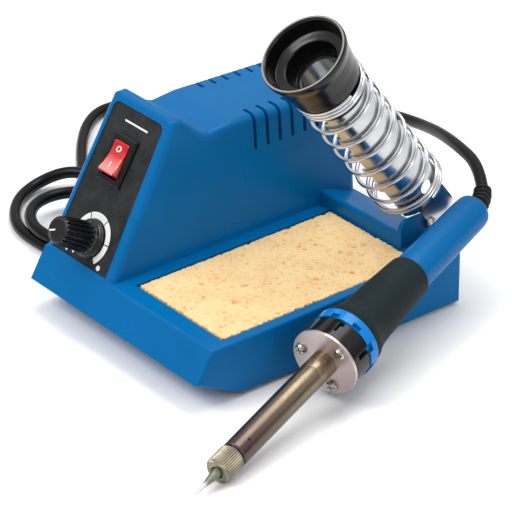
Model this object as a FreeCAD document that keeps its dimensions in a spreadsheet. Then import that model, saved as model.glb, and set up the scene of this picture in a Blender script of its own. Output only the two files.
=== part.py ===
"""Soldering iron station: a blue moulded base with a sponge tray and a control housing, a sprung
iron holder at the back right, and the iron with its lead, leaning on the right rim.

Millimetres. The station is laid out with its front left corner at zero, +X to the right, +Y from the
front to the back and +Z up. At the end every piece moves so that the origin is the middle of the
footprint of everything but the lead, on the bench.
"""

import FreeCAD, Part
import math
import os
import re

import Sketcher
from FreeCAD import Placement, Rotation, Vector

# name, millimetres (or degrees), what it is
SIZES = [
    ("width", 120, "base, left to right"),
    ("depth", 147.8, "base, front to back"),
    ("rim_top", 28, "top of the tray's rim above the bench"),
    ("nose_z", 13.8, "the front's lowest edge above the bench"),
    ("lean", 31.45, "degrees that the front slopes back from upright"),
    ("undercut", 24, "the front's underside runs back this far"),
    ("wall", 2.4, "moulded wall"),
    ("edge_round", 1.5, "small rounds on the base"),
    ("foot_z", 1.5, "rubber feet stand this much below the case"),
    ("foot_r", 6, "rubber foot radius"),
    ("foot_inset", 15, "feet and cover screws from the case's sides"),
    ("cover_t", 2, "bottom cover thickness"),
    ("screw_r", 1.5, "cover screw radius"),
    ("screw_long", 9, "cover screw length under its head"),
    ("gap", 0.3, "clearance between loose neighbours"),
    ("snug", 0.05, "clearance between fitted neighbours"),
    ("house_wide", 48.5, "control housing at the rim"),
    ("house_draft", 4.1, "degrees that the housing's right wall leans in"),
    ("house_top", 92.3, "top of the front frame"),
    ("house_back", 80.8, "top of the housing at the back"),
    ("neck_z", 81.3, "lowest point of the top behind the frame"),
    ("neck_y", 64, "where that point is"),
    ("frame_t", 4.5, "frame's top, front to back"),
    ("house_round", 3.6, "rounds along the housing's top"),
    ("frame_corner", 4.6, "front frame's upper corners"),
    ("panel_left", 4.4, "blue frame left of the panel"),
    ("panel_wide", 37.6, "panel width"),
    ("panel_low", 18, "panel's lower edge, up the slope from the nose"),
    ("panel_long", 70.6, "panel length up the slope"),
    ("panel_t", 0.8, "panel thickness"),
    ("panel_sunk", 1.2, "recess that holds the panel"),
    ("panel_round", 3.5, "panel's upper corners"),
    ("slot_count", 6, "vent slots on each side"),
    ("slot_pitch", 7, "between vent slots"),
    ("slot_wide", 1.7, "vent slot width"),
    ("slot_first", 91.6, "first vent slot from the front"),
    ("slot_low", 66.2, "lower end of the vent slots"),
    ("slot_in", 6.5, "vent slots run this far in over the top"),
    ("sponge_left", 55.3, "sponge from the left side"),
    ("sponge_front", 18.4, "sponge from the front"),
    ("sponge_wide", 59.8, "sponge, left to right"),
    ("sponge_long", 108.2, "sponge, front to back"),
    ("sponge_t", 10, "sponge thickness"),
    ("tray_spare", 0.8, "tray longer than the sponge, at the front"),
    ("tray_t", 1.8, "tray floor thickness"),
    ("step_z", 35.5, "top of the step behind the sponge"),
    ("fin_x", 103.3, "outer face of the holder's fin"),
    ("fin_t", 2.2, "fin thickness"),
    ("fin_z", 41, "fin top"),
    ("fin_flat", 141, "fin's level top ends here"),
    ("fin_end_z", 34, "fin top at the back"),
    ("fin_round", 4, "fin's front corner"),
    ("switch_x", 21.3, "switch centre from the left"),
    ("switch_v", 65.6, "switch centre up the slope"),
    ("bezel_wide", 15.9, "switch bezel width"),
    ("bezel_long", 22.4, "switch bezel length"),
    ("bezel_t", 1.8, "switch bezel thickness"),
    ("switch_wide", 13, "switch body width"),
    ("switch_long", 19.2, "switch body length"),
    ("switch_deep", 14, "switch body behind the panel"),
    ("rocker_wide", 9.8, "rocker width"),
    ("rocker_long", 15.4, "rocker length"),
    ("rocker_tilt", 12, "degrees either way from level"),
    ("rocker_pivot", 1.6, "pivot below the bezel's face"),
    ("pin_r", 1, "rocker pivot pin radius"),
    ("knob_x", 24.9, "knob centre from the left"),
    ("knob_v", 29.5, "knob centre up the slope"),
    ("knob_skirt_r", 8.8, "knob skirt radius"),
    ("knob_foot_r", 7.5, "knob radius above the skirt"),
    ("knob_face_r", 6.3, "knob face radius"),
    ("knob_tall", 20.5, "knob face above the panel"),
    ("knob_gap", 0.8, "knob skirt above the panel"),
    ("shaft_r", 3, "potentiometer shaft radius"),
    ("bush_r", 3.5, "potentiometer bush radius"),
    ("pot_r", 8.2, "potentiometer can radius"),
    ("pot_deep", 9, "potentiometer can depth"),
    ("pot_nut_r", 5.8, "potentiometer nut across corners, halved"),
    ("board_x", 7, "circuit board from the left"),
    ("board_y", 62, "circuit board from the front"),
    ("board_z", 9, "underside of the circuit board"),
    ("board_wide", 34, "circuit board width"),
    ("board_long", 50, "circuit board length"),
    ("board_t", 1.6, "circuit board thickness"),
    ("gland_z", 19, "cable glands above the bench"),
    ("gland_r", 4.4, "gland body radius"),
    ("gland_head_r", 6.2, "gland flange radius"),
    ("gland_head_t", 3.5, "gland flange thickness"),
    ("lead_gland_x", 12, "iron lead's gland from the left"),
    ("mains_gland_x", 33, "mains gland from the left"),
    ("lead_r", 2.8, "iron lead radius"),
    ("holder_x", 90, "holder axis from the left"),
    ("holder_y", 144.6, "holder axis at its lower end"),
    ("holder_z", 46.7, "height of that end"),
    ("holder_lean", 36.5, "degrees that the holder leans forward"),
    ("funnel_top", 106, "funnel's rim along the holder axis"),
    ("funnel_r", 20, "funnel rim radius"),
    ("funnel_waist_r", 16.6, "funnel radius above the spring"),
    ("funnel_bore_r", 10, "funnel bore radius"),
    ("sleeve_low", 76, "funnel's lower end along the axis"),
    ("sleeve_r", 14.4, "funnel sleeve inside the spring"),
    ("coil_r", 15.8, "spring's mean radius"),
    ("wire_r", 0.9, "spring wire radius"),
    ("coil_low", 3.8, "spring's lowest wire centre along the axis"),
    ("coil_high", 84, "spring's highest wire centre along the axis"),
    ("coil_close", 1.95, "pitch of the closed turns"),
    ("closed_turns", 2.25, "closed turns at each end"),
    ("wire_lengths", 6, "lengths that each turn of wire is divided into"),
    ("open_turns", 6.5, "open turns"),
    ("strip_r", 14.3, "half-pipe strip's outer radius"),
    ("strip_t", 0.8, "strip thickness"),
    ("strip_half", 62, "degrees either side of the strip's middle"),
    ("tongue_wide", 16, "strip's tongue"),
    ("tongue_low", 11, "tongue past the holder's lower end"),
    ("iron_beyond", 50.4, "iron's tip beyond the base's right side"),
    ("iron_y", -39.8, "iron's tip from the front"),
    ("rest_y", 125, "where the handle crosses the rim"),
    ("tip_end_r", 0.5, "tip point radius"),
    ("tip_tin", 6.2, "tinned length"),
    ("tip_tin_r", 1, "tip radius at the tinned end"),
    ("tip_r", 2.8, "tip shank radius"),
    ("nut_front", 14.5, "tip nut's front, from the tip"),
    ("nut_r", 6.1, "tip nut radius"),
    ("nut_nose_r", 4.7, "tip nut's front face radius"),
    ("nut_nose", 1.5, "length of the tip nut's tapered front"),
    ("nut_back", 25.6, "tip nut's back, from the tip"),
    ("barrel_r", 5.9, "barrel radius"),
    ("barrel_t", 0.9, "barrel wall"),
    ("disc_at", 92, "heat shield disc from the tip"),
    ("disc_r", 15.9, "heat shield disc radius"),
    ("disc_t", 1.2, "heat shield disc thickness"),
    ("collar_long", 10.8, "black collar length"),
    ("collar_r", 15.1, "black collar radius"),
    ("ring_long", 5.4, "blue ring length"),
    ("ring_r", 15.6, "blue ring radius"),
    ("collar_notches", 6, "notches round the collar"),
    ("ring_notches", 9, "notches round the ring"),
    ("screw_turn", 92, "degrees round the disc to its first screw"),
    ("screw_out", 11.8, "disc screws from the iron's middle"),
    ("grip_end", 158, "grip's rear end, from the tip"),
    ("grip_flare_t", 6, "grip's front stands this far out from the handle"),
    ("grip_neck_t", 3.2, "and so does its neck behind the flare"),
    ("grip_end_t", 0.9, "and its rear end"),
    ("handle_r", 9, "handle radius behind the grip"),
    ("handle_end_r", 8.4, "handle radius at its rear"),
    ("handle_end", 211, "handle's rear face, from the tip"),
    ("handle_t", 1.8, "handle wall"),
    ("relief_r", 4.5, "strain relief radius"),
    ("relief_bend", 20, "strain relief's bend"),
]

doc = FreeCAD.newDocument("soldering_station")
sheet = doc.addObject("Spreadsheet::Sheet", "sizes")
for row, (alias, value, words) in enumerate(SIZES, start=1):
    sheet.set(f"A{row}", words)
    sheet.set(f"B{row}", str(value))
    sheet.setAlias(f"B{row}", alias)
doc.recompute()
S = {alias: float(sheet.get(alias)) for alias, _, _ in SIZES}

X, Y, Z = Vector(1, 0, 0), Vector(0, 1, 0), Vector(0, 0, 1)
pieces = {}


# ---------------------------------------------------------------- how a piece is made


def formula(text):
    """The text of a size formula, with each size's name pointing at its cell."""
    return re.sub(r"[a-z_]+", lambda word: f"sizes.{word[0]}" if word[0] in S else word[0], str(text))


def bind(thing, **sizes):
    for name, text in sizes.items():
        thing.setExpression(name, formula(text))


def number(text):
    return float(sheet.evalExpression(formula(text)))


def add(kind, name, place=None, **sizes):
    """A Part primitive whose sizes follow the sheet."""
    thing = doc.addObject(kind, name)
    bind(thing, **sizes)
    thing.Placement = place or Placement()
    return thing


def box(name, length, width, height, place=None):
    return add("Part::Box", name, place, Length=length, Width=width, Height=height)


def cylinder(name, radius, height, place=None):
    return add("Part::Cylinder", name, place, Radius=radius, Height=height)


def joined(name, *things):
    thing = doc.addObject("Part::MultiFuse", name)
    thing.Shapes = list(things)
    return thing


def cut(name, base, *tools):
    thing = doc.addObject("Part::Cut", name)
    thing.Base = base
    thing.Tool = tools[0] if len(tools) == 1 else joined(name + "_tools", *tools)
    return thing


def shaped(name, shape):
    """A feature that keeps a shape built from the sheet's values."""
    thing = doc.addObject("Part::Feature", name)
    thing.Shape = shape
    return thing


def keep(label, thing, place=None):
    """Name a finished sub-part and put it where it belongs."""
    thing.Label = label
    thing.Placement = (place or Placement()).multiply(thing.Placement)
    pieces[label] = thing
    return thing


def outline_in(body, role, outline):
    """A closed sketch of straight sides on one of the body's planes; each corner is (across, up)."""
    sketch = body.newObject("Sketcher::SketchObject", body.Name + "_outline")
    plane = next(f for f in body.Origin.OriginFeatures if f.Role == role)
    sketch.AttachmentSupport = [(plane, "")]
    sketch.MapMode = "FlatFace"
    corners = [Vector(number(across), number(up), 0) for across, up in outline]
    count = len(corners)
    for i, corner in enumerate(corners):
        sketch.addGeometry(Part.LineSegment(corner, corners[(i + 1) % count]))
    for i, (corner, texts) in enumerate(zip(corners, outline)):
        sketch.addConstraint(Sketcher.Constraint("Coincident", i, 2, (i + 1) % count, 1))
        for kind, value, text in (("DistanceX", corner.x, texts[0]), ("DistanceY", corner.y, texts[1])):
            index = sketch.addConstraint(Sketcher.Constraint(kind, -1, 1, i, 1, value))
            sketch.setExpression(f"Constraints[{index}]", formula(text))
    return sketch


def turned(name, outline):
    """A piece turned about Z; each corner of its half section is (radius, height)."""
    body = doc.addObject("PartDesign::Body", name)
    sketch = outline_in(body, "XZ_Plane", outline)
    turn = body.newObject("PartDesign::Revolution", name + "_turned")
    turn.Profile = sketch
    turn.ReferenceAxis = (sketch, ["V_Axis"])
    turn.Angle = 360
    return body


def plate(name, outline, thick):
    """A flat piece; each corner of its plan is (x, y)."""
    body = doc.addObject("PartDesign::Body", name)
    sketch = outline_in(body, "XY_Plane", outline)
    pad = body.newObject("PartDesign::Pad", name + "_pad")
    pad.Profile = sketch
    bind(pad, Length=thick)
    return body


def oblong(x, y, wide, long):
    """The plan of a rectangle with its near left corner at x, y."""
    return [(x, y), (f"{x} + {wide}", y), (f"{x} + {wide}", f"{y} + {long}"), (x, f"{y} + {long}")]


def rounded(points, radii, closed=True):
    """A wire of straight runs with a tangent arc of its own radius at each corner; 0 stays sharp."""
    count = len(points)
    near, far, arcs = [], [], []
    for i, point in enumerate(points):
        ends = not closed and i in (0, count - 1)
        back = (points[i - 1] - point).normalize()
        on = (points[(i + 1) % count] - point).normalize()
        half = (math.pi - back.getAngle(on)) / 2
        if ends or not radii[i]:
            near.append(point)
            far.append(point)
            arcs.append(None)
            continue
        reach = radii[i] * math.tan(half)
        near.append(point + back * reach)
        far.append(point + on * reach)
        inward = (back + on).normalize()
        middle = point + inward * (radii[i] / math.cos(half) - radii[i])
        arcs.append(Part.Arc(near[-1], middle, far[-1]).toShape())
    edges = []
    for i in range(count):
        if arcs[i]:
            edges.append(arcs[i])
        if i + 1 < count or closed:
            edges.append(Part.LineSegment(far[i], near[(i + 1) % count]).toShape())
    return Part.Wire(edges)


def inset(points, by):
    """The same outline with every side moved in by this much; its corners run anticlockwise."""
    moved = []
    for i, point in enumerate(points):
        before = (point - points[i - 1]).normalize()
        after = (points[(i + 1) % len(points)] - point).normalize()
        inward = [Vector(-d.y, d.x, 0) for d in (before, after)]
        turn = math.tan(before.getAngle(after) / 2)
        turn = turn if before.cross(after).z > 0 else -turn
        moved.append(point + inward[1] * by + after * by * turn)
    return moved


def side_prism(outline, radii, left, right):
    """An outline of (y, z) points carried from left to right along X."""
    wire = rounded([Vector(left, p.x, p.y) for p in outline], radii)
    return Part.Face(wire).extrude(Vector(right - left, 0, 0))


# ---------------------------------------------------------------- where things stand

LEAN = math.radians(S["lean"])
UP_SLOPE = Vector(0, math.sin(LEAN), math.cos(LEAN))
OUT_OF_PANEL = Vector(0, -math.cos(LEAN), math.sin(LEAN))
PANEL_TURN = Rotation(X, 90 - S["lean"])


def on_panel(across, up, out=0.0):
    """The place on the sloping front: across from the left, up from the nose, out from the frame."""
    base = Vector(across, 0, S["nose_z"]) + UP_SLOPE * up + OUT_OF_PANEL * out
    return Placement(base, PANEL_TURN)


def front_y(z):
    return (z - S["nose_z"]) * math.tan(LEAN)


HOLDER = Placement(Vector(S["holder_x"], S["holder_y"], S["holder_z"]), Rotation(X, S["holder_lean"]))


def iron_place():
    """The tip's middle and the way to the rear.

    The tip nut's shoulder is on the bench and the handle touches the rounded rim: seen along Y the
    iron's middle is a tangent from the tip to a circle round the rim's round. The tip's height and
    the slope depend on each other, so they are found by turns.
    """
    reach = S["handle_r"] + S["edge_round"] + S["gap"]
    across = S["iron_beyond"] + S["edge_round"]
    tip_z = 0.0
    for _ in range(30):
        rise = S["rim_top"] - S["edge_round"] - tip_z
        slope = math.atan2(rise, across) + math.asin(reach / math.hypot(across, rise))
        run = math.sqrt(across**2 + rise**2 - reach**2)
        along = Vector(-math.cos(slope) * run, S["rest_y"] - S["iron_y"], math.sin(slope) * run).normalize()
        shoulder = (S["nut_front"] + S["nut_nose"]) * along.z
        tip_z = S["nut_r"] * math.sqrt(1 - along.z**2) - shoulder + S["snug"]
    return Vector(S["width"] + S["iron_beyond"], S["iron_y"], tip_z), along


TIP, IRON_AXIS = iron_place()
IRON = Placement(TIP, Rotation(Z, IRON_AXIS))
PANEL_FACE = S["panel_t"] - S["panel_sunk"]


# ---------------------------------------------------------------- the case


def base_outline():
    """Side view of the base, from the nose round the bottom, anticlockwise."""
    return [
        Vector(0, S["nose_z"]),
        Vector(S["undercut"], S["foot_z"]),
        Vector(S["depth"], S["foot_z"]),
        Vector(S["depth"], S["rim_top"]),
        Vector(front_y(S["rim_top"]), S["rim_top"]),
    ]


def house_outline(low):
    """Side view of the housing above the height low, anticlockwise."""
    top = S["house_top"]
    return [
        Vector(front_y(low), low),
        Vector(S["depth"], low),
        Vector(S["depth"], S["house_back"]),
        Vector(S["neck_y"] + 16, S["neck_z"] + 1.6),
        Vector(S["neck_y"], S["neck_z"]),
        Vector(front_y(top) + S["frame_t"], top),
        Vector(front_y(top), top),
    ]


def step_outline(low):
    """Side view of the step behind the sponge."""
    front = S["sponge_front"] + S["sponge_long"] + S["gap"]
    return [
        Vector(front, low),
        Vector(S["depth"], low),
        Vector(S["depth"], S["rim_top"] + 0.2),
        Vector(front, S["step_z"]),
    ]


def draft_wedge(low, by=0.0):
    """What the housing's leaning right wall leaves out."""
    wedge = Part.makeBox(60, 2 * S["depth"], 200, Vector(0, -S["depth"] / 2, -20))
    wedge.rotate(Vector(0, 0, 0), Y, -S["house_draft"])
    wedge.translate(Vector(S["house_wide"] - by, 0, S["rim_top"]))
    keep_below = Part.makeBox(200, 3 * S["depth"], 60, Vector(-20, -S["depth"], low - 60))
    return wedge.cut(keep_below)


def frame_corners():
    """What the rounded upper corners of the front frame leave out, seen from the front."""
    reach = S["frame_corner"]
    draft = math.radians(S["house_draft"])
    middle_z = S["house_top"] - reach
    wall_x = S["house_wide"] - math.tan(draft) * (middle_z - S["rim_top"])
    far = reach + 3
    tools = []
    for middle_x, side, lean in ((reach, -1, 0), (wall_x - reach / math.cos(draft), 1, draft)):
        outline = [
            (0, 0),
            (side * far * math.cos(lean), far * math.sin(lean)),
            (side * far, far),
            (0, far),
            (0, 0),
        ]
        wire = Part.makePolygon([Vector(middle_x + x, 0, middle_z + z) for x, z in outline])
        block = Part.Face(wire).extrude(Vector(0, S["neck_y"], 0))
        kept = Part.makeCylinder(reach, S["neck_y"] + 2, Vector(middle_x, -1, middle_z), Y)
        tools.append(block.cut(kept))
    return tools


def along_edges(shape, test):
    return [edge for edge in shape.Edges if test(edge)]


def case_outside():
    low = S["rim_top"] - 6
    house = side_prism(house_outline(low), [0, 0, 5, 14, 9, 2.2, 2.2], 0, S["house_wide"])
    house = house.cut(draft_wedge(low))
    behind_frame = front_y(S["house_top"]) + S["frame_t"] + 1

    def runs_along_the_top(edge):
        ends = [v.Point for v in edge.Vertexes]
        high = all(p.z > S["neck_z"] - 12 for p in ends)
        along = max(p.y for p in ends) - min(p.y for p in ends) > 0.2
        same_side = abs(ends[0].x - ends[-1].x) < 3
        return high and along and same_side and edge.BoundBox.YMin > behind_frame

    def stands_at_the_back(edge):
        box = edge.BoundBox
        return box.YMin > S["depth"] - 0.1 and box.ZLength > 20

    house = house.makeFillet(
        S["house_round"], along_edges(house, lambda e: runs_along_the_top(e) or stands_at_the_back(e))
    )
    house = house.cut(frame_corners()).Solids[0]
    base = side_prism(base_outline(), [0, 8, 0, 0, 0], 0, S["width"])

    def shows_on_the_base(edge):
        box = edge.BoundBox
        right = box.XMin > S["width"] - 0.1
        rim_front = box.ZMin > S["rim_top"] - 0.1 and box.YMax < S["depth"] / 2 and box.XLength > 1
        rim_back = box.ZMin > S["rim_top"] - 0.1 and box.YMin > S["depth"] - 0.1
        return (right and box.ZMax > S["foot_z"] + 1) or rim_front or rim_back

    base = base.makeFillet(S["edge_round"], along_edges(base, shows_on_the_base))
    step = side_prism(step_outline(S["rim_top"] - 6), [0, 0, 0, 1.5], S["house_wide"] - 9, S["fin_x"])
    return house.fuse([base, step]).removeSplitter()


def case_inside():
    """The hollow, open at the bottom."""
    wall = S["wall"]
    base = inset(base_outline(), wall)
    base[1] = Vector(base[1].x, 0)
    base[2] = Vector(base[2].x, 0)
    hollow = side_prism(base, [0] * 5, wall, S["width"] - wall)
    low = S["rim_top"] - 8
    house = inset(house_outline(low - wall), wall)
    house = side_prism(house, [0, 0, 3, 12, 10, 0, 0], wall, S["house_wide"] - wall)
    house = house.cut(draft_wedge(low - 2 * wall, wall))
    step = inset(step_outline(S["rim_top"] - 8), wall)
    step = side_prism(step, [0] * 4, S["house_wide"] - 9, S["fin_x"] - wall)
    return hollow.fuse([house, step]).removeSplitter()


def tray_box(margin, low):
    """A box over the sponge's place, this much larger all round and down to this height."""
    corner = Vector(S["sponge_left"] - margin, S["sponge_front"] - S["tray_spare"] - margin, low)
    long = S["sponge_long"] + S["tray_spare"] + 2 * margin
    return Part.makeBox(S["sponge_wide"] + 2 * margin, long, S["step_z"] + 20 - low, corner)


def foot_places():
    far_x = S["width"] - S["foot_inset"]
    far_y = S["depth"] - S["foot_inset"]
    near_y = S["undercut"] + S["foot_inset"]
    return [Vector(x, y) for x in (S["foot_inset"], far_x) for y in (near_y, far_y)]


def screw_places():
    """Beside the feet, further in, clear of the sponge's tray at the bottom."""
    return [Vector(p.x, p.y + (14 if p.y < S["depth"] / 2 else -14)) for p in foot_places()]


def screw_bosses():
    tray_floor = S["rim_top"] - S["sponge_t"] - S["tray_t"]
    bosses = []
    for place in screw_places():
        high = tray_floor + 0.5
        low = S["foot_z"] + S["cover_t"]
        boss = Part.makeCylinder(3.6, high - low, Vector(place.x, place.y, low))
        bosses.append(boss)
        if place.x < S["house_wide"]:
            web = Part.makeBox(place.x - 1, 2, high - low, Vector(1, place.y - 1, low))
            bosses.append(web)
    return bosses


def vent_slots():
    """Slots that run up both sides and in over the top of the housing."""
    tools = []
    lean_in = math.tan(math.radians(S["house_draft"])) * (S["slot_low"] - S["rim_top"])
    right = S["house_wide"] - lean_in
    for i in range(int(S["slot_count"])):
        y = S["slot_first"] + i * S["slot_pitch"] - S["slot_wide"] / 2
        for x in (-5, right - S["slot_in"] - 2):
            tools.append(
                Part.makeBox(S["slot_in"] + 7, S["slot_wide"], 30, Vector(x, y, S["slot_low"]))
            )
    return tools


def fin():
    front = S["sponge_front"] + S["sponge_long"] + S["gap"]
    back = S["depth"] - S["gap"]
    low = S["rim_top"] - 1
    outline = [
        Vector(front, low),
        Vector(back, low),
        Vector(back, S["fin_end_z"]),
        Vector(S["fin_flat"], S["fin_z"]),
        Vector(front, S["fin_z"]),
    ]
    return side_prism(outline, [0, 0, 1, 3, S["fin_round"]], S["fin_x"] - S["fin_t"], S["fin_x"])


def panel_outline(grow=0.0):
    """Corners across and up the panel; its right side follows the housing's lean."""
    low, high = S["panel_low"] - grow, S["panel_low"] + S["panel_long"] + grow
    left, right = S["panel_left"] - grow, S["panel_left"] + S["panel_wide"] + grow
    lean_in = math.tan(math.radians(S["house_draft"])) * S["panel_long"] * math.cos(LEAN)
    return [
        Vector(left, low), Vector(right + 1.6, low), Vector(right + 1.6 - lean_in, high),
        Vector(left, high)
    ]


def panel_solid(thick, grow=0.0):
    sharp = 0.01 if grow else 0.0
    round_top = S["panel_round"] + grow
    wire = rounded(panel_outline(grow), [sharp, sharp, round_top, round_top])
    return Part.Face(wire).extrude(Vector(0, 0, thick))


def made_case():
    floor_z = S["rim_top"] - S["sponge_t"]
    kept_round_tray = tray_box(S["gap"] + S["wall"], floor_z - S["tray_t"]).common(case_outside())
    case = case_outside().cut(case_inside().cut(kept_round_tray))
    case = case.cut(tray_box(S["gap"], floor_z))
    case = case.fuse([fin()] + screw_bosses())
    recess = panel_solid(30, S["snug"])
    recess.Placement = on_panel(0, 0, -S["panel_sunk"])
    hole = Part.makeBox(S["switch_wide"], S["switch_long"], 20)
    hole.Placement = on_panel(
        S["switch_x"] - S["switch_wide"] / 2, S["switch_v"] - S["switch_long"] / 2, -10
    )
    bush = Part.makeCylinder(S["bush_r"] + S["snug"], 20)
    bush.Placement = on_panel(S["knob_x"], S["knob_v"], -10)
    tools = [recess, hole, bush] + vent_slots()
    for x in (S["lead_gland_x"], S["mains_gland_x"]):
        at = Vector(x, S["depth"] - 5, S["gland_z"])
        tools.append(Part.makeCylinder(S["gland_r"] + S["snug"], 10, at, Y))
    for place in screw_places():
        low = S["foot_z"] + S["cover_t"] - 1
        tools.append(
            Part.makeCylinder(
                S["screw_r"] + S["snug"], S["screw_long"] + 1, Vector(place.x, place.y, low)
            )
        )
    screw = holder_screw_place()
    tools.append(Part.makeCylinder(S["screw_r"] + S["snug"], 10, screw.Base + X * -6, X))
    return case.cut(tools).removeSplitter()


def holder_screw_place():
    """On the fin's outer face, under the strip's tongue."""
    return Placement(Vector(S["fin_x"], S["fin_flat"] + 2.2, S["fin_z"] - 5), Rotation(Y, 90))


def made_cover():
    wall = S["wall"] + S["gap"]
    front = S["undercut"] + wall + 1
    outline = [
        (wall, front),
        (f"width - {wall}", front),
        (f"width - {wall}", f"depth - {wall}"),
        (wall, f"depth - {wall}"),
    ]
    cover = plate("cover_plate", outline, "cover_t")
    holes = []
    for i, place in enumerate(screw_places()):
        at = Placement(Vector(place.x, place.y, -1), Rotation())
        holes.append(cylinder(f"cover_hole_{i}", "screw_r + snug", "cover_t + 2", at))
    for i in range(7):
        at = Placement(Vector(14 + 4.5 * i, S["depth"] / 2 - 10, -1), Rotation())
        holes.append(box(f"cover_vent_{i}", 2, 24, "cover_t + 2", at))
    keep("bottom_cover", cut("cover_cut", cover, *holes), Placement(Vector(0, 0, S["foot_z"]), Rotation()))


def group(label, things):
    """Identical pieces that share one node."""
    compound = doc.addObject("Part::Compound", label)
    compound.Links = list(things)
    keep(label, compound)


def screw(name, length, place, head_r=2.8, head_t=1.6, radius="screw_r"):
    """A pan head screw; its shank runs along +Z from the head's underside."""
    outline = [(0, length), (radius, length), (radius, 0), (head_r, 0), (head_r, -head_t / 2),
               (head_r - 0.7, -head_t), (0, -head_t)]
    body = turned(name, outline)
    slot = box(
        name + "_slot", 2 * head_r, 0.6, 0.7,
        Placement(Vector(-head_r, -0.3, -head_t - 0.1), Rotation())
    )
    cross = box(
        name + "_cross", 0.6, 2 * head_r, 0.7,
        Placement(Vector(-0.3, -head_r, -head_t - 0.1), Rotation())
    )
    thing = cut(name + "_cut", body, slot, cross)
    thing.Placement = place
    return thing


def made_feet_and_screws():
    feet = []
    for i, place in enumerate(foot_places()):
        foot = turned(
            f"foot_{i}",
            [(0, 0), ("foot_r - 0.5", 0), ("foot_r", 0.5), ("foot_r", "foot_z"), (0, "foot_z")]
        )
        foot.Placement.Base = Vector(place.x, place.y, 0)
        feet.append(foot)
    group("rubber_feet", feet)
    at = [Placement(Vector(p.x, p.y, S["foot_z"]), Rotation()) for p in screw_places()]
    group("cover_screws", [screw(f"cover_screw_{i}", "screw_long", p, 2.8, 1.2) for i, p in enumerate(at)])


# ---------------------------------------------------------------- the controls


def made_panel():
    panel = shaped("panel_sheet", panel_solid(S["panel_t"]))
    hole = box("panel_switch_hole", "switch_wide", "switch_long", 4)
    hole.Placement.Base = Vector(
        S["switch_x"] - S["switch_wide"] / 2, S["switch_v"] - S["switch_long"] / 2, -1
    )
    bush = cylinder(
        "panel_bush_hole", "bush_r + snug", 4,
        Placement(Vector(S["knob_x"], S["knob_v"], -1), Rotation())
    )
    keep("control_panel", cut("panel_cut", panel, hole, bush), on_panel(0, 0, -S["panel_sunk"]))


def made_switch():
    """Bezel and body in one moulding, the rocker on its two pins, and three blades behind."""
    at = on_panel(S["switch_x"], S["switch_v"], PANEL_FACE)
    flange = box("bezel_flange", "bezel_wide", "bezel_long", "bezel_t")
    flange.Placement.Base = Vector(-S["bezel_wide"] / 2, -S["bezel_long"] / 2, 0)
    body = box("switch_block", "switch_wide - 2 * snug", "switch_long - 2 * snug", "switch_deep")
    body.Placement.Base = Vector(
        -S["switch_wide"] / 2 + S["snug"], -S["switch_long"] / 2 + S["snug"], -S["switch_deep"]
    )
    well = box("rocker_well", "rocker_wide + 2 * gap", "rocker_long + 1.4", 9)
    well.Placement.Base = Vector(
        -S["rocker_wide"] / 2 - S["gap"], -S["rocker_long"] / 2 - 0.7, S["bezel_t"] - 7.5
    )
    pivot = Vector(0, 0, S["bezel_t"] - S["rocker_pivot"])
    pin_long = S["rocker_wide"] + 2 * S["gap"] + 1.4
    bore = cylinder("pivot_bore", "pin_r + snug", pin_long)
    bore.Placement = Placement(pivot - X * (pin_long / 2), Rotation(Y, 90))
    soft = doc.addObject("Part::Chamfer", "bezel_soft")
    soft.Base = flange
    doc.recompute()
    top = [i + 1 for i, e in enumerate(flange.Shape.Edges) if e.BoundBox.ZMin > S["bezel_t"] - 0.01]
    soft.Edges = [(i, 0.8, 0.8) for i in top]
    bezel = joined("bezel_and_block", soft, body)
    keep("switch_body", cut("switch_cut", bezel, well, bore), at)

    half = S["rocker_long"] / 2
    outline = [
        Vector(-half, -1.2), Vector(0, -4.2), Vector(half, -1.2), Vector(half, 3.9), Vector(0, 2.7),
        Vector(-half, 3.9)
    ]
    wide = S["rocker_wide"] / 2
    rocker = side_prism(outline, [1, 0, 1, 0.5, 0, 0.5], -wide, wide)
    pin = Part.makeCylinder(S["pin_r"], pin_long - 0.6, Vector(-pin_long / 2 + 0.3, 0, 0), X)
    thing = shaped("rocker_and_pins", rocker.fuse(pin).removeSplitter())
    swing = Placement(pivot, Rotation(X, -S["rocker_tilt"]))
    keep("switch_rocker", thing, at.multiply(swing))

    blades = []
    for i, v in enumerate((-6.5, 0, 6.5)):
        blade = box(f"blade_{i}", 4.8, 0.8, 9)
        blade.Placement = at.multiply(Placement(Vector(-2.4, v - 0.4, -S["switch_deep"] - 9), Rotation()))
        blades.append(blade)
    group("switch_terminals", blades)


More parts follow.
